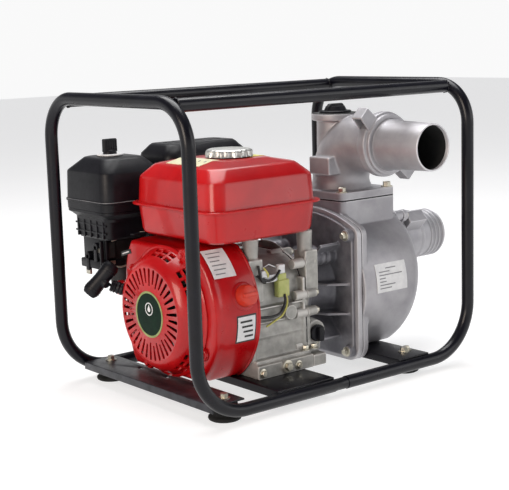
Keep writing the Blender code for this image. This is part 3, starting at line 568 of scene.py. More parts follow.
def case_outline(inset=0.0):
    i = inset
    points = [(-98 + i, 40.2 + i), (92 - i, 40.2 + i), (92 - i, 92), (88 - i, 150)]
    points += arc(30, 150, 58 - i, 0, 90, 10)
    points += arc(-36, 156, 52 - i, 90, 180, 10)
    points += [(-98 + i, 110)]
    return points


def on_bore(x0, x1, s0, s1, w0, w1):
    return tilt(box(x0, x1, s0, s1, w0, w1))


def cylinder_fins():
    """Cooling fins round the cylinder and across the head."""
    fins = []
    for k in range(6):
        s = 84 + 8.4 * k
        fins.append(tilt(prism(round_box(-49.5, 49.5, CYL_X - 49.5, CYL_X + 49.5, 12), "y", s, s + 2.4)))
    return fins


def build_crankcase():
    core = prism(case_outline(), "x", CASE_X0, CASE_X1)
    ribs = [box(CASE_X0 + 2, CASE_X1 - 1, -99.5, -80, z, z + 2.4) for z in (97, 118, 139)]
    ribs += [box(x, x + 5, -100.5, -84, 56, 176) for x in (CASE_X0 + 1, CASE_X1 - 8)]
    post = drum("z", (-98, -84), [(212, 10), (242.6, 12)], 40)
    foot = [box(CASE_X0, CASE_X1, -112, -92, 40.2, 60), box(CASE_X0, CASE_X1, 88, 100, 40.2, 56),
            box(CASE_X0 + 2, CASE_X1 - 2, -106, -92, 60, 66)]
    boss = [drum("y", (52, -60), [(-115.5, 8.5), (-96, 10)], 24),
            drum("y", (128, -40), [(-104, 11), (-86, 13)], 24)]
    solids = [core, post, box(CASE_X0 + 0.5, -86, -97, -72, 150, 213)] + ribs + foot + boss
    solids += [on_bore(CYL_X - 38, CYL_X + 38, 60, DECK, -38, 38)]
    hollow = [prism(case_outline(9), "x", CASE_X0 + 7, CASE_X1 + 5),
              tilt(drum("y", (0, CYL_X), [(40, 35), (DECK + 2, 35)], 48)),
              drum("x", CRANK, [(CASE_X0 - 5, 14), (CASE_X0 + 10, 14)], 32)]
    casting("crankcase_casting", solids, "engine_aluminium", stands_for=["crankcase"], voxel=1.6, rounds=3,
            cuts=hollow)
    piece("cylinder_fins", cylinder_fins(), "engine_aluminium", bevel=0.5)
    piece("oil_drain_bolt", hex_bolt((-60, -115.2, 52), (0, -1, 0), 11, 6), "steel", paint="zinc")


def build_side_cover():
    x0, x1 = CASE_X1 + 0.3, CASE_X1 + 7.3
    solids = [prism(case_outline(), "x", x0, x1),
              drum("x", CRANK, [(x0 + 4, 82), (x0 + 12, 74), (x0 + 20, 62), (33, 58)], 64),
              box(x0 + 1, 20, -97, -70, 150, 213), drum("z", (5, -84), [(205, 10.5), (242.6, 12)], 40),
              box(x0 + 1, 24, -94, -60, 60, 100), box(x0, 20, -112, -90, 40.2, 58),
              drum("y", (86, 15), [(-94, 19), (-78, 21)], 32)]
    for y, z in COVER_BOLTS:
        solids.append(drum("x", (y, z), [(x0 - 0.1, 7.6), (x0 + 19, 7.2)], 24))
    bore = [drum("x", CRANK, [(x0 - 10, 13), (45, 13)], 32)]
    casting("side_cover_casting", solids, "engine_aluminium", stands_for=["crankcase_side_cover"], voxel=1.5,
            rounds=3, cuts=bore)
    bosses = [drum("x", (y, z), rounded([(x0 - 22, 7.4), (x0 - 0.6, 7.4)]), 24) for y, z in COVER_BOLTS]
    piece("cover_bolt_bosses", bosses, "engine_aluminium")
    seam = prism(case_outline(-0.25), "x", CASE_X1 - 0.5, x0 + 0.5)
    piece("side_cover_gasket", seam, "engine_aluminium", paint="gasket")
    bolts = [hex_bolt((x0 + 18.6, y, z), (1, 0, 0), 8, 5) for y, z in COVER_BOLTS]
    bolts += [hex_bolt((x, -101, 66), (0, 0, 1), 8, 5) for x in (-12, 4)]
    bolts += [hex_bolt((x, -112, 49), (0, -1, 0), 8, 4) for x in (-104, -36)]
    piece("engine_cover_bolts", bolts, "steel", paint="zinc")


def build_head():
    core = [on_bore(CYL_X - 40, CYL_X + 40, DECK + 0.3, DECK + 41, -40, 40)]
    for k in range(5):
        s = DECK + 1 + 8 * k
        core.append(tilt(prism(round_box(-47.5, 47.5, -107.5, -12.5, 8), "y", s, s + 2.6)))
    casting("head_casting", core, "engine_aluminium", stands_for=["cylinder_head"], voxel=1.2, rounds=1)

    s0 = DECK + 42.3
    loops = []
    for half, rise in ((46, 0), (46, 3), (42, 4), (41, 20), (40, 26), (37, 31), (32, 34)):
        outline = round_box(CYL_X - half, CYL_X + half, 2 - half, half - 2, 14, 8)
        loops.append([(x, s0 + rise, w) for x, w in outline])
    piece("rocker_cover_pressing", tilt(skin(loops)), "steel", stands_for=["rocker_cover"], bevel=0.6)
    bolts = []
    for x in (CYL_X - 39, CYL_X + 39):
        for w in (-37, 37):
            bolts.append(tilt(shift(turn(hex_bolt((0, 0, 0), (0, 0, 1), 8, 5), radians(-90), "X", (0, 0, 0)),
                                    x, s0 + 3, w)))
    piece("rocker_cover_bolts", bolts, "steel", paint="zinc")
    plug_lead()


def on_plug_axis(stations, sides=24):
    bm = turn(drum("z", (0, 0), stations, sides), radians(-150), "X", (0, 0, 0))
    return tilt(shift(bm, CYL_X, DECK + 6, 0))


def plug_lead():
    stations = [(84.3, 8), (85, 9), (92, 9), (94, 7.6), (97, 7.6), (99, 8.4), (103, 8), (104, 6)]
    piece("plug_boot", on_plug_axis(stations), "rubber", stands_for=["plug_cap"], angle=50)
    tip = Vector((0.0, 0.0, 103.0))
    tip.rotate(Matrix.Rotation(radians(-150), 3, "X"))
    tip += Vector((CYL_X, DECK + 6, 0))
    tip.rotate(Matrix.Rotation(CYL_TILT, 3, "X"))
    tip += Vector((0, CRANK[0], CRANK[1]))
    route = [tip, tip + Vector((-12, 6, -10)), tip + Vector((-34, 4, -16)), (-104, 112, 70), (-111.5, 96, 84),
             (-112.5, 88, 100)]
    piece("plug_lead", tube(smooth_path(route), 3.4, 12), "rubber", angle=80)


# ---------------------------------------------------------------- blower housing and starter

def shroud_outline(scale=1.0, count=96):
    """Housing seen along the crank: round on the near side, squared toward the cylinder."""
    points = []
    for i in range(count):
        a = 2 * pi * i / count
        c, s = cos(a), sin(a)
        if c <= 0:
            y, z = SHROUD_R * c, SHROUD_R * s
        else:
            y = SHROUD_R * abs(c) ** 0.45
            z = SHROUD_R * (1 if s > 0 else -1) * abs(s) ** 0.75
        y = min(CRANK[0] + y, 118.5)
        z = min(max(CRANK[1] + z, 40.9), 235.8)
        points.append((CRANK[0] + (y - CRANK[0]) * scale, CRANK[1] + (z - CRANK[1]) * scale))
    return points


def cup(outer, inner):
    """Shell from outer loops (open rim to closed end) and inner loops (closed end back to the rim)."""
    bm = bmesh.new()
    rows = [[bm.verts.new(p) for p in loop] for loop in outer + inner]
    count = len(rows[0])
    for n, (low, high) in enumerate(zip(rows, rows[1:] + rows[:1])):
        if n == len(outer) - 1:
            continue
        for i in range(count):
            j = (i + 1) % count
            bm.faces.new((low[i], low[j], high[j], high[i]))
    bm.faces.new(rows[len(outer) - 1])
    bm.faces.new(rows[len(outer)])
    bmesh.ops.recalc_face_normals(bm, faces=bm.faces)
    return bm


def build_shroud():
    x0 = SHROUD_X0
    outer = [place(shroud_outline(1.0), "x", SHROUD_X1), place(shroud_outline(1.0), "x", SHROUD_X1 - 2),
             place(shroud_outline(0.985), "x", SHROUD_X1 - 3), place(shroud_outline(0.985), "x", x0 + 22),
             place(shroud_outline(0.975), "x", x0 + 20), place(shroud_outline(0.972), "x", x0 + 11)]
    for k in range(6):
        t = pi / 2 * k / 5
        outer.append(place(shroud_outline(0.972 - 0.07 * (1 - cos(t))), "x", x0 + 9 - 9 * sin(t)))
    inner = [place(shroud_outline(0.90), "x", x0 + 2.4), place(shroud_outline(0.955), "x", x0 + 9),
             place(shroud_outline(0.965), "x", SHROUD_X1)]
    hole = drum("x", CRANK, [(x0 - 5, 80), (x0 + 6, 80)], 64)
    piece("blower_housing", cup(outer, inner), "red_paint", stands_for=["fan_cover"], angle=32, cuts=hole)


def fan_window(a0, a1, r0, r1, x0, x1):
    """Cutter for one louvre: a sector of the cone between two angles and two radii."""
    inner, outer = around(CRANK, r0, (a0, a1)), around(CRANK, r1, (a0, a1))
    return prism([inner[0], outer[0], outer[1], inner[1]], "x", x0, x1)


def build_recoil():
    rim, face = SHROUD_X0 - 0.3, RECOIL_FACE
    outer = [(rim, 97), (rim - 1.6, 97), (rim - 3, 95.5), (rim - 4, 93), (rim - 8, 91), (face + 11, 83.5),
             (face + 7, 80), (face + 3, 76), (face + 1, RECOIL_R), (face, RECOIL_R - 3),
             (face + 0.6, RECOIL_R - 5), (face + 0.6, 36), (face, 35)]
    inner = [(face + 2.6, 34), (face + 2.8, RECOIL_R - 5), (face + 9, 79), (rim - 6, 88), (rim, 90)]
    loops = [place(ring(r, 96, *CRANK), "x", x) for x, r in outer + inner]
    cover = cup(loops[:len(outer)], loops[len(outer):])
    slots = []
    for k in range(36):
        side = [(42 if k % 2 else 46, 1.5), (66, 2.6), (68, 1.6)]
        outline = [(CRANK[0] + r, CRANK[1] - w) for r, w in side]
        outline += [(CRANK[0] + r, CRANK[1] + w) for r, w in reversed(side)]
        slots.append(turn(prism(outline, "x", face - 4, face + 8), radians(10 * k + 2), "X", (0, *CRANK)))
    for start in (84, 128, 172, 216, 260, 304, 348, 40):
        for a in (start, start + 10.5, start + 21):
            slots.append(fan_window(a, a + 7.6, 77, 99, face + 12.5, rim - 13.5))
            slots.append(fan_window(a, a + 7.6, 80, 99, rim - 11.5, rim - 5.5))
    sleeve = smooth_path([(-206, 74, 159), (-214, 80, 163), (-222, 86, 167), ROPE_EXIT], 8)
    ribbed = [8.2 + (1.1 if k % 4 < 2 else 0) for k in range(len(sleeve))]
    piece("rope_sleeve", tube(sleeve, 8, 28, ribbed), "black_plastic")
    piece("recoil_cover_pressing", cover, "red_paint", stands_for=["recoil_cover"], angle=32,
          cuts=slots)
    guide = soft_box(-212, -198, 80, 104, CRANK[1] + 12, CRANK[1] + 34, 4, 3)
    piece("rope_guide", guide, "red_paint", bevel=0.5)
    spots = around(CRANK, 99, (118, 30, 210, 300))
    ears = [drum("x", spot, rounded([(rim, 10), (rim - 5, 9)]), 28) for spot in spots]
    piece("recoil_cover_ears", ears, "red_paint", bevel=0.4)
    bolts = [hex_bolt((rim - 5, *spot), (-1, 0, 0), 8, 4) for spot in spots]
    piece("recoil_cover_bolts", bolts, "red_paint")
    emblem(face)


def emblem(face):
    """Plain round badge: green disc with a gold-green rim, a white ring and a drop."""
    rim = [(face + 0.4, 34), (face - 0.6, 34), (face - 0.9, 32.5), (face - 0.6, 31), (face + 0.4, 31)]
    piece("badge_rim", turned_ring("x", CRANK, rim), "red_paint", paint="gold_label")
    piece("badge_disc", drum("x", CRANK, [(face + 0.5, 31.2), (face - 0.3, 31.2), (face - 0.4, 30.5)], 64),
          "red_paint", paint="green_label")
    y, z = CRANK[0], CRANK[1] + 8
    band = [(face - 0.4, 9.5), (face - 0.7, 9.5), (face - 0.7, 8), (face - 0.4, 8)]
    drop = [(y, z + 6)] + [(y + u, z + v - 1) for u, v in arc(0, 0, 3.4, 20, -200, 14)]
    mark = [turned_ring("x", (y, z), band, 48), prism(drop, "x", face - 0.7, face - 0.4)]
    piece("badge_mark", mark, "red_paint", paint="white_label")


def build_rope_and_grip():
    reach = Vector((0, cos(PULL_TILT), sin(PULL_TILT)))
    low, high = span("starter_handle")
    grip = (low + high) / 2
    shares = [-1 + 2 * k / 12 for k in range(13)]
    bar = drum("z", (0, 0), [(29 * t, 12.4 - 0.8 * cos(t * pi) - 3.6 * abs(t) ** 8) for t in shares], 32)
    ribs = [drum("z", (0, 0), [(z, 12.0), (z + 0.6, 13), (z + 1.4, 13), (z + 2, 12.0)], 32)
            for z in (-22, -18, 16, 20)]
    neck = aim(drum("z", (0, 0), [(0, 8), (13, 7), (17, 5)], 24), (0, -1, 0), (0, 0, 0))
    handle = turn(together([bar] + ribs), GRIP_LEAN, "Y", (0, 0, 0))
    handle = turn(together([handle, neck]), PULL_TILT, "X", (0, 0, 0))
    piece("starter_grip", shift(handle, *grip), "black_plastic", "starter_grip", ["starter_handle"], angle=50)
    start, end = Vector(ROPE_EXIT), grip - reach * 4
    rope = put("starter_rope_run", tube([start.lerp(end, k / 12) for k in range(13)], 2.2, 12), 80)
    rope.data.materials.append(FINISH["rope"])
    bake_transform(rope)


# ---------------------------------------------------------------- tank, air cleaner, exhaust

def build_tank():
    low, high = span("fuel_tank")
    rows = [(24, 243.2, 16), (18, 244, 18), (13.5, 247, 20), (11.5, 252, 21), (8, SEAM_Z - 4, 23)]
    rows += [(7.4, SEAM_Z - 2.2, 23), (0.6, SEAM_Z - 1.7, 27), (0, SEAM_Z - 1, 27), (0, SEAM_Z + 1, 27),
             (0.6, SEAM_Z + 1.7, 27), (7.4, SEAM_Z + 2.2, 23), (8, SEAM_Z + 4, 23)]
    rows += [(9.6, 326, 23), (10.4, 330, 23), (12.5, 333, 23), (24.5, 345.5, 22), (27, 347.6, 22),
             (31, 349, 22), (50, 353.2, 20), (54, 354.4, 18), (58, 355.2, 16)]
    piece("tank_shell", skin(stack(low, high, rows, 10)), "red_paint", stands_for=["fuel_tank"], angle=24)
    build_fuel_cap()
    tank_labels()


def build_fuel_cap():
    """Filler cap with 22 flutes round its side."""
    rows = []
    for r, z, depth in ((33, 356.4, 0), (36, 357, 1.0), (36, 358.5, 2.4), (35.8, 362.5, 2.8), (35, 365, 1.8),
                        (33, 366.6, 0.8), (30, 367.8, 0), (26, 368.2, 0), (24, 367.6, 0), (20, 367.0, 0),
                        (8, 367.2, 0)):
        angles = [2 * pi * i / 192 for i in range(192)]
        radii = [r - depth * abs(sin(11 * a)) ** 0.8 for a in angles]
        rows.append([(CAP[0] + rr * cos(a), CAP[1] + rr * sin(a), z) for a, rr in zip(angles, radii)])
    piece("filler_cap", skin(rows), "chrome", "tank_cap", ["fuel_cap"], angle=38)


def slope_patch(profile, y0, y1, thick=0.5):
    """Thin label that follows the tank's top: profile is a run of (x, z) on the surface."""
    outline = [(x, z + thick) for x, z in profile] + [(x, z - 0.6) for x, z in reversed(profile)]
    return skin([[(x, y, z) for x, z in outline] for y in (y0, y1)])


def tank_labels():
    """Plain patches on the tank's top, with no lettering."""
    left = [(-157, 349.8), (-140, 353.2), (-136, 354.4), (-132, 355.2), (-119, 355.2)]
    right = [(-62, 355.2), (-37, 355.2), (-33, 354.4), (-29, 353.2), (-10, 349.0), (-8, 348.6)]
    piece("tank_label_cream", slope_patch(left, -46, 34), "red_paint", paint="cream_label")
    piece("tank_label_yellow", slope_patch(right, -44, 39), "red_paint", paint="yellow_label")
    marks = [slope_patch(left[1:3], y, y + 3, 0.7) for y in (-38, -24, -10, 4, 18)]
    marks += [slope_patch(right[3:5], y, y + 3, 0.7) for y in (-36, -18, 0, 18, 32)]
    piece("tank_label_marks", marks, "red_paint", paint="ink")


def build_air_cleaner():
    low, high = span("air_cleaner_cover")
    rows = [(3, 274.3, 18), (2, 274.6, 18), (1.6, 286, 18), (0.2, 287, 19), (0, 288, 19), (0.2, 289.4, 19),
            (1.8, 290.2, 18), (3, 331.5, 18), (4, 334, 18), (15, 346, 22), (19, 350, 22), (22, 352.6, 21),
            (26, 353.6, 20)]
    piece("cleaner_cover_moulding", skin(stack(low, high, rows)), "black_plastic", "cleaner_lid",
          ["air_cleaner_cover"], angle=28)
    tray = stack(low, high, [(3, 273.9, 16), (3, 270, 16), (6, 268, 16), (12, 262, 16), (12.5, 258, 16)])
    under = [place(round_box(-208 + i, -112 - i, 124 + i, 220 - i, 12), "z", z)
             for i, z in ((0, 264), (2, 232), (4, 229))]
    ribs = [soft_box(-208.6, -206, y, y + 4, 231, 262, 0.8) for y in (134, 152, 170, 188, 206)]
    ribs += [soft_box(-208, -206, 128, 216, z, z + 3, 0.8) for z in (238, 250)]
    piece("cleaner_base_moulding", [skin(tray), skin(under)] + ribs, "black_plastic",
          stands_for=["air_cleaner_base"], angle=30)
    rim = stack(low, high, [(0.4, 289.0, 19), (0.02, 289.2, 19), (0.02, 289.8, 19), (0.4, 290.0, 19)])
    piece("cleaner_rim_line", skin(rim, capped=False), "black_plastic", "cleaner_lid", paint="ink")
    build_cleaner_knob()


def build_cleaner_knob():
    x, y = KNOB
    top = span("air_cleaner_knob")[1].z
    washer = drum("z", KNOB, [(354.4, 20), (355.2, 20.6), (356.2, 20.4), (356.8, 18.5)], 48)
    piece("cleaner_nut_washer", washer, "black_plastic", "cleaner_nut", paint="white_label")
    wing = [place(round_box(x - u, x + u, y - v, y + v, r), "z", z)
            for u, v, r, z in ((12, 4.5, 2.5, 360), (12, 4.2, 2.5, top - 1.2), (11, 3.2, 2.2, top))]
    block = [drum("z", KNOB, [(356.4, 11), (361, 10), (363, 8)], 32), skin(wing)]
    block += [soft_box(x + dx, x + dx + 1.2, y - 5, y + 5, 363, 378, 0.4) for dx in (-8, -4, 0, 4, 8)]
    piece("cleaner_nut_wing", block, "black_plastic", "cleaner_nut", ["air_cleaner_knob"])


def build_carburettor():
    body = [soft_box(-176, -122, 156, 204, 182, 226, 3),
            drum("z", (-150, 178), rounded([(143, 18), (184, 20)], 3), 40),
            soft_box(-120, -108.4, 128, 199, 189, 223, 2),
            drum("x", (180, 206), [(-194, 15), (-170, 16)], 32), soft_box(-196, -176, 152, 170, 196, 224, 2)]
    casting("carburettor_casting", body, "cast_iron", stands_for=["carburettor"], voxel=1.2, rounds=2)
    trim = [soft_box(-203, -160, 150, 214, 180, 194, 2), soft_box(-195.5, -176, 206, 216, 184, 228, 2),
            soft_box(-195.8, -190, 150, 214, 194, 228, 1.5), soft_box(-190, -130, 206, 212, 196, 228, 2),
            soft_box(-204, -198, 152, 156, 184, 226, 1)]
    piece("carburettor_bracket", trim, "black_plastic", bevel=0.4)
    shiny = [hex_bolt((-196, 162, 210), (-1, 0, 0), 7, 4), hex_bolt((-150, 178, 142), (0, 0, -1), 9, 4),
             tube([(-184, 152, 224), (-150, 128, 236), (-128, 112, 238)], 1.2, 8),
             tube([(-190, 150, 186), (-176, 140, 184), (-150, 132, 190)], 1.4, 8),
             soft_box(-198, -194, 196, 208, 168, 182, 0.8), soft_box(-198, -180, 148, 151, 188, 194, 0.6)]
    piece("carburettor_fittings", shiny, "steel", paint="zinc")
    hose = smooth_path([(-150, 158, 158), (-158, 146, 150), (-164, 128, 160), (-160, 118, 190),
                        (-150, 108, 222), (-140, 92, 240)])
    piece("fuel_hose", tube(hose, 3.6, 14), "rubber", angle=80)
    for node, moves in (("choke_lever", "choke"), ("fuel_valve_lever", "fuel_valve")):
        low, high = span(node)
        y = (low.y + high.y) / 2
        outline = [(y - 4.6, low.z + 2), (y - 2.5, low.z), (y + 2.5, low.z), (y + 4.6, low.z + 2),
                   (y + 3.4, high.z - 5), (y - 3.4, high.z - 5)]
        arm = [drum("x", (y, high.z - 6), rounded([(low.x, 6), (high.x, 6)], 0.8), 28),
               prism(outline, "x", low.x, low.x + 4)]
        piece(node + "_moulding", arm, "black_plastic", moves, [node], bevel=0.5)


def build_exhaust():
    low, high = span("muffler_guard")
    outer = stack(low, high, [(0, 262, 20), (0.8, 300, 20), (1.8, 346, 20), (3, 352, 20), (9, 359, 19),
                              (13, 363.5, 17), (17, 366.6, 15), (24, 367, 12)])
    inner = stack(low, high, [(26, 364.8, 10), (16, 363, 14), (5, 350, 18), (2.4, 262, 18)])
    cuts = []
    for k in range(7):
        x = low.x + 32 + 16 * k
        cuts.append(soft_box(x, x + 6, high.y - 8, high.y + 6, 278, 326, 2))
        cuts.append(soft_box(x, x + 5, low.y + 40, high.y - 34, 358, 374, 1.8))
    for k in range(4):
        y = low.y + 22 + 15 * k
        cuts.append(soft_box(high.x - 6, high.x + 6, y, y + 6, 280, 326, 2))
        cuts.append(soft_box(low.x - 6, low.x + 6, y, y + 6, 300, 330, 2))
    piece("muffler_guard_pressing", cup(outer, inner), "black_plastic", stands_for=["muffler_guard"],
          angle=35, cuts=cuts)


# ---------------------------------------------------------------- small engine parts

def build_controls():
    low, high = span("oil_filler_cap")
    x, z = (low.x + high.x) / 2, (low.z + high.z) / 2
    cap = [drum("y", (z, x), [(-94.5, 12.4), (-97, 13), (-100, 13), (-101, 11)], 40),
           prism([(z + u, x + v) for u, v in round_box(-11, 11, -4.5, 4.5, 2.5)], "y", -108.5, -99)]
    piece("oil_filler_plug", cap, "black_plastic", "oil_cap", ["oil_filler_cap"], bevel=0.5)
    radial = Vector((0, -cos(radians(15)), sin(radians(15))))
    base = Vector((-138.0, *CRANK)) + radial * (SHROUD_R + 0.3)
    knob = [drum("z", (0, 0), [(0, 16), (3, 16), (9, 15.2), (12.5, 14), (14, 11.5)], 40),
            soft_box(-12.5, 12.5, -3, 3, 8, 16.5, 1.2)]
    piece("switch_knob_moulding", aim(together(knob), radial, base), "orange_plastic", "switch",
          ["engine_switch_knob"], angle=35)
    boss = drum("z", (0, 0), [(-6, 21), (-2.0, 20.5), (-0.5, 18)], 40)
    piece("switch_boss", aim(boss, radial, base), "red_paint")
    low, high = span("oil_alert_unit")
    body = [soft_box(low.x + 1, high.x - 1, low.y + 1, high.y, low.z, high.z - 6, 2.5, 3),
            soft_box(low.x + 3, high.x - 5, low.y + 3, high.y, high.z - 10, high.z + 3, 2, 2)]
    piece("oil_alert_block", body, "yellow_plastic", stands_for=["oil_alert_unit"])
    white = [soft_box(low.x - 20, high.x - 12, -96, -89, 176, 187, 1.5),
             soft_box(-56, -44, -97, -88, 182, 200, 2), soft_box(-92, -80, -101, -94, 186, 196, 1.5)]
    piece("wire_connectors", white, "yellow_plastic", paint="white_label")
    wires()
    tin = [prism(round_box(-88, -30, 10, 20, 4), "z", 209.5, 211),
           tube([(-86, -88, 196), (-70, -90, 202), (-50, -92, 192)], 1.2, 8)]
    piece("control_bracket", tin, "steel", bevel=0.2)
    low, high = span("governor_arm")
    arm = [soft_box(low.x + 2, high.x, 13.5, 20.5, 216.4, 218.6, 0.6),
           drum("z", (-86, 17), [(208.4, 5), (222, 5)], 24), drum("z", (-30, 17), [(216, 4.5), (220, 4)], 20)]
    piece("governor_arm_pressing", arm, "steel", "governor", ["governor_arm"])
    low, _ = span("throttle_lever")
    lever = [prism(round_box(low.x, -146, 91.5, 100.5, 4), "z", 239.2, 241.4),
             drum("z", (-150, 96), [(236.7, 6), (242.3, 6)], 28)]
    piece("throttle_lever_moulding", lever, "black_plastic", "throttle", ["throttle_lever"],
          bevel=0.4)


def wires():
    black = [[(-50, -100, 156), (-52, -104, 146), (-62, -106, 132), (-80, -106, 128), (-104, -104, 130),
              (-116, -108, 130)],
             [(-100, -100, 190), (-92, -102, 184), (-76, -100, 180), (-62, -97, 184), (-54, -96, 192)],
             [(-96, -98, 204), (-98, -104, 192), (-94, -104, 182), (-84, -98, 178)]]
    yellow = [[(-47, -100, 156), (-49, -105, 143), (-60, -107, 128), (-76, -107, 121), (-88, -103, 114)],
              [(-86, -98, 200), (-82, -102, 192), (-80, -100, 186)]]
    for name, runs, radius, paint in (("black_wires", black, 2.0, "wire_black"),
                                      ("yellow_wires", yellow, 1.5, "wire_yellow")):
        loose = [tube(smooth_path(run), radius, 10) for run in runs]
        piece(name, loose, "rubber", paint=paint, angle=80)


# ---------------------------------------------------------------- pump

def flange_outline(inset=0.0):
    """Joint flange: straight sides and a top that arches over the pump."""
    side, low, corner_r, arch_r, arch_z = 92.0, 52.0, 16.0 - inset, 220.0 - inset, 42.0
    lean = degrees(acos(side / (arch_r - corner_r)))
    corner_z = arch_z + (arch_r - corner_r) * sin(radians(lean))
    points = arc(PUMP[0] + side, corner_z, corner_r, 0, lean, 8)
    points += arc(PUMP[0], arch_z, arch_r, lean, 180 - lean, 24)[1:-1]
    points += arc(PUMP[0] - side, corner_z, corner_r, 180 - lean, 180, 8)
    points += arc(PUMP[0] - 84, low, 24 - inset, 180, 270, 8)
    points += arc(PUMP[0] + 84, low, 24 - inset, 270, 360, 8)
    return points


def build_bracket():
    x1 = JOINT_X - 0.3
    inner = [drum("x", CRANK, [(33.3, 56), (41, 56), (47, 46), (86, 66)], 72),
             prism(flange_outline(7), "x", 82.5, 88.2)]
    for a in (45, 135, 225, 315):
        rib = box(44, 86, CRANK[0] + 36, CRANK[0] + 104, CRANK[1] - 2.4, CRANK[1] + 2.4)
        inner.append(turn(rib, radians(a), "X", (0, *CRANK)))
    for z in (104, 150):
        for near, far, tip in ((-46, -102, -76), (40, 96, 70)):
            inner.append(prism([(44, near), (86, near), (86, far), (56, tip)], "z", z - 2, z + 2))
    bosses = [drum("x", spot, [(76, 9), (90, 10)], 28) for spot in FLANGE_BOLTS]
    ringed = [(40, 10), (44, 12), (50, 12), (51, 10.6), (55, 10.6), (56, 12.6), (61, 12.6), (62, 11),
              (66, 11), (67, 13), (72, 13), (73, 11.5), (86, 12)]
    bosses += [drum("x", (y, 192), ringed, 40) for y in (-58, 52)]
    bore = [drum("x", CRANK, [(25, 13), (75, 13)], 32), drum("x", CRANK, [(76, 26), (120, 26)], 32)]
    # the bracket's inner hub, ribs and plate take the darker casting colour as painted shade for its recess
    casting("bracket_casting", inner + bosses, "cast_aluminium", stands_for=["pump_bracket"], voxel=1.4,
            rounds=2, cuts=bore, paint="painted_shade_casting")
    piece("bracket_flange", prism(flange_outline(0), "x", 88, x1), "cast_aluminium", bevel=1.2,
          cuts=prism(flange_outline(9), "x", 80, 120))
    bolts = [hex_bolt((75.8, *spot), (-1, 0, 0), 9, 5.5) for spot in FLANGE_BOLTS]
    piece("bracket_bolts", bolts, "steel", paint="zinc")


def drum_section(radius, x, front):
    loop = []
    for y, z in ring(radius, 96, *PUMP):
        lean = 0.12 * (z - PUMP[1]) if front else 0.0
        loop.append((x + lean, y, max(z, 40.4)))
    return loop


def build_casing():
    x0 = JOINT_X + 0.3
    rows = [(PUMP_R - 3, x0, False), (PUMP_R - 1, 112, False), (PUMP_R, 140, False), (PUMP_R, 170, True),
            (PUMP_R, 198, True)]
    for k in range(1, 9):
        t = pi / 2 * k / 8
        rows.append((PUMP_R - 36 * (1 - cos(t)), 198 + 33 * sin(t), True))
    shell = skin([drum_section(*row) for row in rows])
    rim = skin([place(flange_outline(inset), "x", x) for inset, x in ((0, x0), (0, 108), (2, 110))])
    boss = drum("x", SUCTION, [(190, 62), (232, 57), (246, 52)], 72)
    lugs = [drum("x", spot, [(228, 9), (245.8, 8)], 24) for spot in around(SUCTION, 64, QUARTERS)]
    plug = drum("x", (PUMP[0], DRAIN_Z), [(190, 15), (230, 13)], 32)
    hollow = [(108, x0 - 5), (108, 188), (100, 202), (78, 214)]
    cavity = skin([[(x, y, max(z, 47.0)) for y, z in ring(r, 72, *PUMP)] for r, x in hollow])
    holes = [cavity, drum("z", NECK, [(215, 38), (NECK_Z + 8, 38)], 48),
             drum("x", SUCTION, [(190, 39.5), (262, 39.5)], 64)]
    neck = prism(neck_outline(), "z", 200, NECK_Z - 1.2)
    casting("pump_casing_casting", [shell, rim, neck, boss, plug] + lugs, "cast_aluminium",
            stands_for=["pump_casing"], voxel=1.6, rounds=4, cuts=holes)
    piece("neck_gasket", prism(neck_outline(), "z", NECK_Z - 1.4, NECK_Z + 0.1), "rubber", paint="gasket")
    piece("flange_gasket", prism(flange_outline(0.6), "x", JOINT_X - 0.6, x0 + 0.3), "rubber", paint="gasket")
    head = [drum("x", (PUMP[0], DRAIN_Z), [(230.2, 10), (232, 10)], 32),
            prism(ring(8.4, 6, PUMP[0], DRAIN_Z), "x", 232, span("pump_drain_plug")[1].x)]
    piece("drain_plug_turned", head, "steel", stands_for=["pump_drain_plug"], bevel=0.5,
          paint="zinc")


def neck_outline():
    """Square joint between casing and elbow."""
    return round_box(NECK[0] - NECK_HALF + 5.8, NECK[0] + NECK_HALF, NECK[1] - NECK_HALF, NECK[1] + NECK_HALF,
                     13, 8)


def elbow_path(steps=20):
    run = [(*NECK, NECK_Z + 8), (*NECK, NECK_Z + 18)]
    for u, v in arc(0, 0, 60, 0, 90, steps):
        run.append((NECK[0], NECK[1] - 60 + u, OUT_Z - 60 + v))
    return run + [(NECK[0], -80, OUT_Z), (NECK[0], -92, OUT_Z)]


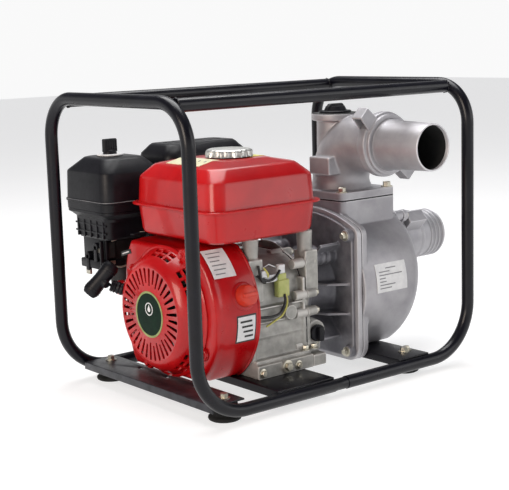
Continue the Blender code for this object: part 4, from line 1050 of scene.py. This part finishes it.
def build_elbow():
    x, y = NECK
    path = elbow_path()
    taper = [49, 47] + [45.5] * (len(path) - 4) + [45, 45]
    solids = [prism(neck_outline(), "z", NECK_Z, NECK_Z + 12), tube(path, 45, 72, taper),
              drum("z", (x, y), [(NECK_Z + 8, 52), (NECK_Z + 20, 47)], 64),
              drum("z", PRIMING, [(318, 31), (396, 30)], 56),
              drum("z", PRIMING, rounded([(394, 38), (405, 38)], 1.5), 56),
              soft_box(x - 57, x - 12, y - 34, y + 12, 312, 340, 1.5)]
    holes = [drum("z", PRIMING, [(385, 23), (415, 23)], 40),
             drum("y", (OUT_Z, x), [(-100, 37), (-60, 37)], 48)]
    casting("elbow_casting", solids, "cast_aluminium", stands_for=["discharge_elbow"], voxel=1.4, rounds=4,
            cuts=holes)
    seal = turned_ring("z", PRIMING, [(404.6, 37), (405.4, 37), (405.4, 24), (404.6, 24)])
    piece("priming_gasket", seal, "rubber", paint="gasket")
    bolts = [hex_bolt((x + dx, y + dy, NECK_Z + 12), (0, 0, 1), 11, 7)
             for dy in (-51, 51) for dx in (-46, 52)]
    piece("elbow_bolts", bolts, "steel", paint="zinc")
    px, py = PRIMING
    wing = [place(round_box(px - u, px + u, py - v, py + v, r), "z", z)
            for u, v, r, z in ((22, 5, 4, 408), (20, 4.5, 4, 413), (14.5, 4, 3.5, 419.2), (13, 3, 3, 420))]
    cap = [drum("z", PRIMING, [(405.5, 25), (406.5, 25.5), (408, 25.5), (409, 24.5)], 48), skin(wing),
           drum("z", PRIMING, [(408, 19), (416, 15)], 40)]
    piece("priming_plug", cap, "black_plastic", "priming_lid", ["priming_cap"], angle=35)


def lug(axis, centre, angle, u0, u1, w, a0, a1):
    """Cast coupling lug: its body, the cutter of its sunk pocket, and a dark skin on the pocket's floor as
    painted shade.
    """
    def spin(points):
        ca, sa = cos(radians(angle)), sin(radians(angle))
        return [(centre[0] + u * ca - v * sa, centre[1] + u * sa + v * ca) for u, v in points]

    def block(wall, v0, v1):
        near, far = u0 + 4.4 + wall, u1 - wall
        return prism(spin([(near, v0), (far, v0), (far, v1), (near, v1)]), axis, a0 + wall, a1 - wall)

    body = prism(spin([(u0, -w), (u1, -w * 0.8), (u1, w * 0.8), (u0, w)]), axis, a0, a1)
    hollow = block(2.6, -w - 3, w * 0.55)
    floor = block(2.9, w * 0.4, w * 0.6)
    return body, hollow, floor


def coupling(name, axis, centre, outline, lugs, body, node):
    """Cast coupling ring with its lugs, and the dark skins on the floors of their pockets as painted shade.
    """
    solids = [turned_ring(axis, centre, outline)] + [solid for solid, _, _ in lugs]
    casting(name + "_coupling_casting", solids, "cast_aluminium", body, [node], voxel=0.9, rounds=2,
            cuts=[cutter for _, cutter, _ in lugs])
    # painted shade: dark skins laid in the lug pockets, where shadow falls, in the cast iron slot's dark
    # finish
    piece(name + "_lug_pocket_shade", [floor for _, _, floor in lugs], "cast_aluminium", body,
          paint="cast_iron")


def build_discharge():
    centre = (OUT_Z, NECK[0])
    low, high = span("discharge_coupling_ring")
    a0, a1 = low.y, high.y
    bore = 39.6
    outline = [(a0, bore), (a0, 45), (a0 + 1.5, 46.5), (a0 + 4, 47), (a0 + 5, 45.6), (a0 + 7, 45.6),
               (a0 + 8, 49), (a0 + 10, 50), (a1 - 6, 50), (a1 - 2, 48.5), (a1, 47), (a1, bore)]
    lugs = [lug("y", centre, a, bore + 2, 72, 13, a0 + 4, a1 - 1) for a in (-45, 135)]
    coupling("discharge", "y", centre, outline, lugs, "discharge_ring", "discharge_coupling_ring")
    tail = [(-94, 33), (-205, 33), (-205.8, 33.4), (-206, 34.4), (-205.6, 35.2), (-204, 35.6), (-150, 37),
            (-122, 38.6), (-119, 39.2), (-94, 39.2)]
    piece("discharge_tail_turned", turned_ring("y", centre, tail, 96), "cast_aluminium",
          stands_for=["discharge_hose_tail"], angle=50)
    lining = turned_ring("y", centre, [(-94, 32.9), (-200, 32.9), (-200, 32.4), (-94, 32.4)])
    piece("discharge_dark_inside", lining, "cast_iron", paint="dark")


def build_suction():
    x0 = span("suction_flange")[0].x
    spots = around(SUCTION, 62, QUARTERS)
    solids = [drum("x", SUCTION, [(x0, 54), (x0 + 9, 54)], 64),
              drum("x", SUCTION, [(x0 + 6, 41), (x0 + 12, 38.1), (x0 + 34, 37)], 64)]
    solids += [drum("x", spot, [(x0, 10), (x0 + 9, 10)], 28) for spot in spots]
    casting("suction_flange_casting", solids, "cast_aluminium", stands_for=["suction_flange"], voxel=1.2,
            rounds=2, cuts=[drum("x", SUCTION, [(x0 - 5, 33), (x0 + 50, 33)], 48)])
    seal = drum("x", SUCTION, [(x0 - 0.6, 53), (x0 + 0.2, 53)], 64)
    piece("suction_gasket", seal, "rubber", paint="gasket",
          cuts=drum("x", SUCTION, [(x0 - 5, 34), (x0 + 5, 34)], 48))
    bolts = [hex_bolt((x0 + 9, *spot), (1, 0, 0), 9, 5.5) for spot in spots]
    piece("suction_flange_bolts", bolts, "steel", paint="zinc")
    low, high = span("suction_coupling_ring")
    a0, a1 = low.x, high.x
    outline = [(a0, 38.7), (a0, 42), (a0 + 2, 43), (a0 + 14, 43), (a0 + 16, 42), (a1 - 8, 42), (a1 - 6, 43),
               (a1 - 1.5, 43), (a1, 41.8), (a1, 38.7)]
    lugs = [lug("x", SUCTION, a, 39.6, 63.5, 13, a0 + 4, a0 + 42) for a in (140, 320)]
    coupling("suction", "x", SUCTION, outline, lugs, "suction_ring", "suction_coupling_ring")
    end = 361.0
    barbs = [(x0 + 34.4, 33.5), (end - 0.6, 33.5), (end, 34.2), (end, 36.4), (end - 1, 37.4)]
    for k in range(4):
        s = end - 6 - 9 * k
        barbs += [(s + 0.8, 39.4), (s, 40), (s - 1.2, 39.2), (s - 2.2, 37.9)]
    barbs += [(x0 + 62, 37.9), (x0 + 34.4, 37.9)]
    piece("suction_tail_turned", turned_ring("x", SUCTION, barbs, 96), "cast_aluminium",
          stands_for=["suction_hose_tail"])


# ---------------------------------------------------------------- decals

def curved_patch(axis_point, radius, a0, a1, x0, x1, thick=0.35, steps=12):
    """Thin label wrapped on a surface of turning about the x axis."""
    loops = []
    for r in (radius - 0.2, radius + thick):
        edge = around(axis_point, r, [a0 + (a1 - a0) * k / steps for k in range(steps + 1)])
        loops.append([(x0, y, z) for y, z in edge] + [(x1, y, z) for y, z in reversed(edge)])
    return skin(loops)


def build_labels():
    """Plain stickers, with short bars in place of print."""
    housing, pump = (CRANK, SHROUD_R * 0.985), (PUMP, PUMP_R - 0.2)
    for name, skin_at, a0, a1, x0, x1, thick, slot, paint in (
            ("housing_label", housing, 126.5, 150, -180, -141, 0.35, "red_paint", "white_label"),
            ("housing_sign_edge", housing, 178, 198, -155, -120, 0.35, "red_paint", "black_label"),
            ("housing_sign", housing, 179.2, 196.8, -153, -122, 0.6, "red_paint", "white_label"),
            ("pump_label", pump, 160, 182, 121, 186, 0.4, "cast_aluminium", "white_label")):
        piece(name, curved_patch(*skin_at, a0, a1, x0, x1, thick), slot, paint=paint)
    lines = [curved_patch(*housing, a, a + 0.8, -175, -150 - 4 * (k % 3), 0.55, 3)
             for k, a in enumerate(129.5 + 3.4 * k for k in range(6))]
    piece("housing_label_lines", lines, "red_paint", paint="ink")
    bars = [curved_patch(*housing, a, a + 1.4, -149 + 3 * k, -128 + k, 0.9)
            for k, a in enumerate(182 + 3.6 * k for k in range(4))]
    piece("housing_sign_marks", bars, "red_paint", paint="black_label")
    for name, strip, paint in (
            ("face_strip", soft_box(-190.7, -189.8, 88, 116, 210, 217, 0.3), "black_label"),
            ("face_strip_mark", soft_box(-191.0, -190.2, 93, 112, 212.6, 214.4, 0.3), "white_label")):
        piece(name, turn(strip, radians(-16), "X", (0, 100, 214)), "red_paint", paint=paint)
    spans = ((142, 164), (127, 150), (127, 176), (127, 140), (127, 141), (127, 160), (127, 152))
    lines = [curved_patch(*pump, 163.5 + 2.5 * k, 164.3 + 2.5 * k, start, stop, 0.55, 3)
             for k, (start, stop) in enumerate(spans)]
    piece("pump_label_lines", lines, "cast_aluminium", paint="ink")


# ---------------------------------------------------------------- CAD nodes that stay

def repaint_rest():
    """Give each CAD node that still shows the finish of its record slot."""
    slots = {entry["node"]: entry["material_slot"] for entry in frame["record"]["subparts"]}
    for name, obj in frame["nodes"].items():
        obj.data.materials.clear()
        obj.data.materials.append(FINISH[slots[name]])


# ---------------------------------------------------------------- camera, light, floor

CAMERA_AT = Vector((-1193.0, -1459.0, 531.5))
YAW, PITCH, ROLL = radians(38.73), radians(9.63), radians(-1.74)
LENS, SENSOR = 87.63, 36.0
FLOOR_HALF, FLOOR_GLOW = 9.0, 0.66
SKY_RISE, SKY_STRENGTH = (0.13, 0.40), 0.95
LIGHTS = (                   # name, place, target, size in m, power in W, colour
    ("overhead", (0.3, 0.5, 2.3), (0, 0, 0.2), (1.8, 1.8), 62, (1, 1, 1)),
    ("left_front", (-2.5, -0.7, 1.2), (0, 0, 0.2), (1.0, 1.5), 40, (1, 0.86, 0.74)),
    ("right_front", (1.9, -2.4, 1.3), (0.1, 0, 0.25), (2.0, 1.8), 20, (1, 1, 1)))


def build_camera():
    data = bpy.data.cameras.new("camera")
    data.lens = LENS
    data.sensor_width = SENSOR
    data.clip_end = 50
    camera = bpy.data.objects.new("camera", data)
    bpy.context.collection.objects.link(camera)
    forward = Vector((sin(YAW) * cos(PITCH), cos(YAW) * cos(PITCH), -sin(PITCH)))
    level = Vector((cos(YAW), -sin(YAW), 0))
    up = level.cross(forward)
    right = level * cos(ROLL) + up * sin(ROLL)
    top = up * cos(ROLL) - level * sin(ROLL)
    matrix = Matrix((right, top, -forward)).transposed().to_4x4()
    matrix.translation = CAGE_ORIGIN + CAMERA_AT * MM
    camera.matrix_world = matrix
    bpy.context.scene.camera = camera


def area_light(name, at, target, size, power, colour):
    data = bpy.data.lights.new(name, "AREA")
    data.shape = "RECTANGLE"
    data.size, data.size_y = size
    data.energy = power
    data.color = colour
    light = bpy.data.objects.new(name, data)
    bpy.context.collection.objects.link(light)
    light.location = at
    light.rotation_euler = (Vector(target) - Vector(at)).to_track_quat("-Z", "Y").to_euler()


def build_floor():
    """Pale floor with a little glow of its own, so that it stays pale far from the lights."""
    bm = bmesh.new()
    for x, y in ((-1, -1), (1, -1), (1, 1), (-1, 1)):
        bm.verts.new((x * FLOOR_HALF, y * FLOOR_HALF, 0))
    bm.faces.new(bm.verts)
    mesh = bpy.data.meshes.new("floor")
    bm.to_mesh(mesh)
    bm.free()
    floor = bpy.data.objects.new("floor", mesh)
    bpy.context.collection.objects.link(floor)
    pale = finish("pale_floor", 0.40, 0.42, 0.9, patch=4)
    shader = pale.node_tree.nodes["Principled BSDF"]
    shader.inputs["Emission Color"].default_value = (1, 1, 1, 1)
    shader.inputs["Emission Strength"].default_value = FLOOR_GLOW
    mesh.materials.append(pale)


def build_world():
    """White at the horizon, darker overhead."""
    world = bpy.data.worlds.new("studio")
    world.use_nodes = True
    tree = world.node_tree
    coords = tree.nodes.new("ShaderNodeTexCoord")
    split = tree.nodes.new("ShaderNodeSeparateXYZ")
    tree.links.new(coords.outputs["Generated"], split.inputs["Vector"])
    sky = ramp_node(tree, split.outputs["Z"], (1.0, 1.0, 1.0), (0.14, 0.14, 0.16), SKY_RISE)
    background = tree.nodes["Background"]
    tree.links.new(sky, background.inputs["Color"])
    background.inputs["Strength"].default_value = SKY_STRENGTH
    bpy.context.scene.world = world


def build_stage():
    build_floor()
    build_world()
    for light in LIGHTS:
        area_light(*light)
    bpy.context.scene.view_settings.view_transform = "Standard"


# ---------------------------------------------------------------- main

FINISH = make_finishes()
for build in (build_camera, build_stage, repaint_rest, build_cage, build_plates, build_crankcase,
              build_side_cover, build_head, build_shroud, build_recoil, build_rope_and_grip, build_tank,
              build_air_cleaner, build_carburettor, build_exhaust, build_controls, build_bracket,
              build_casing, build_elbow, build_discharge, build_suction, build_labels):
    build()
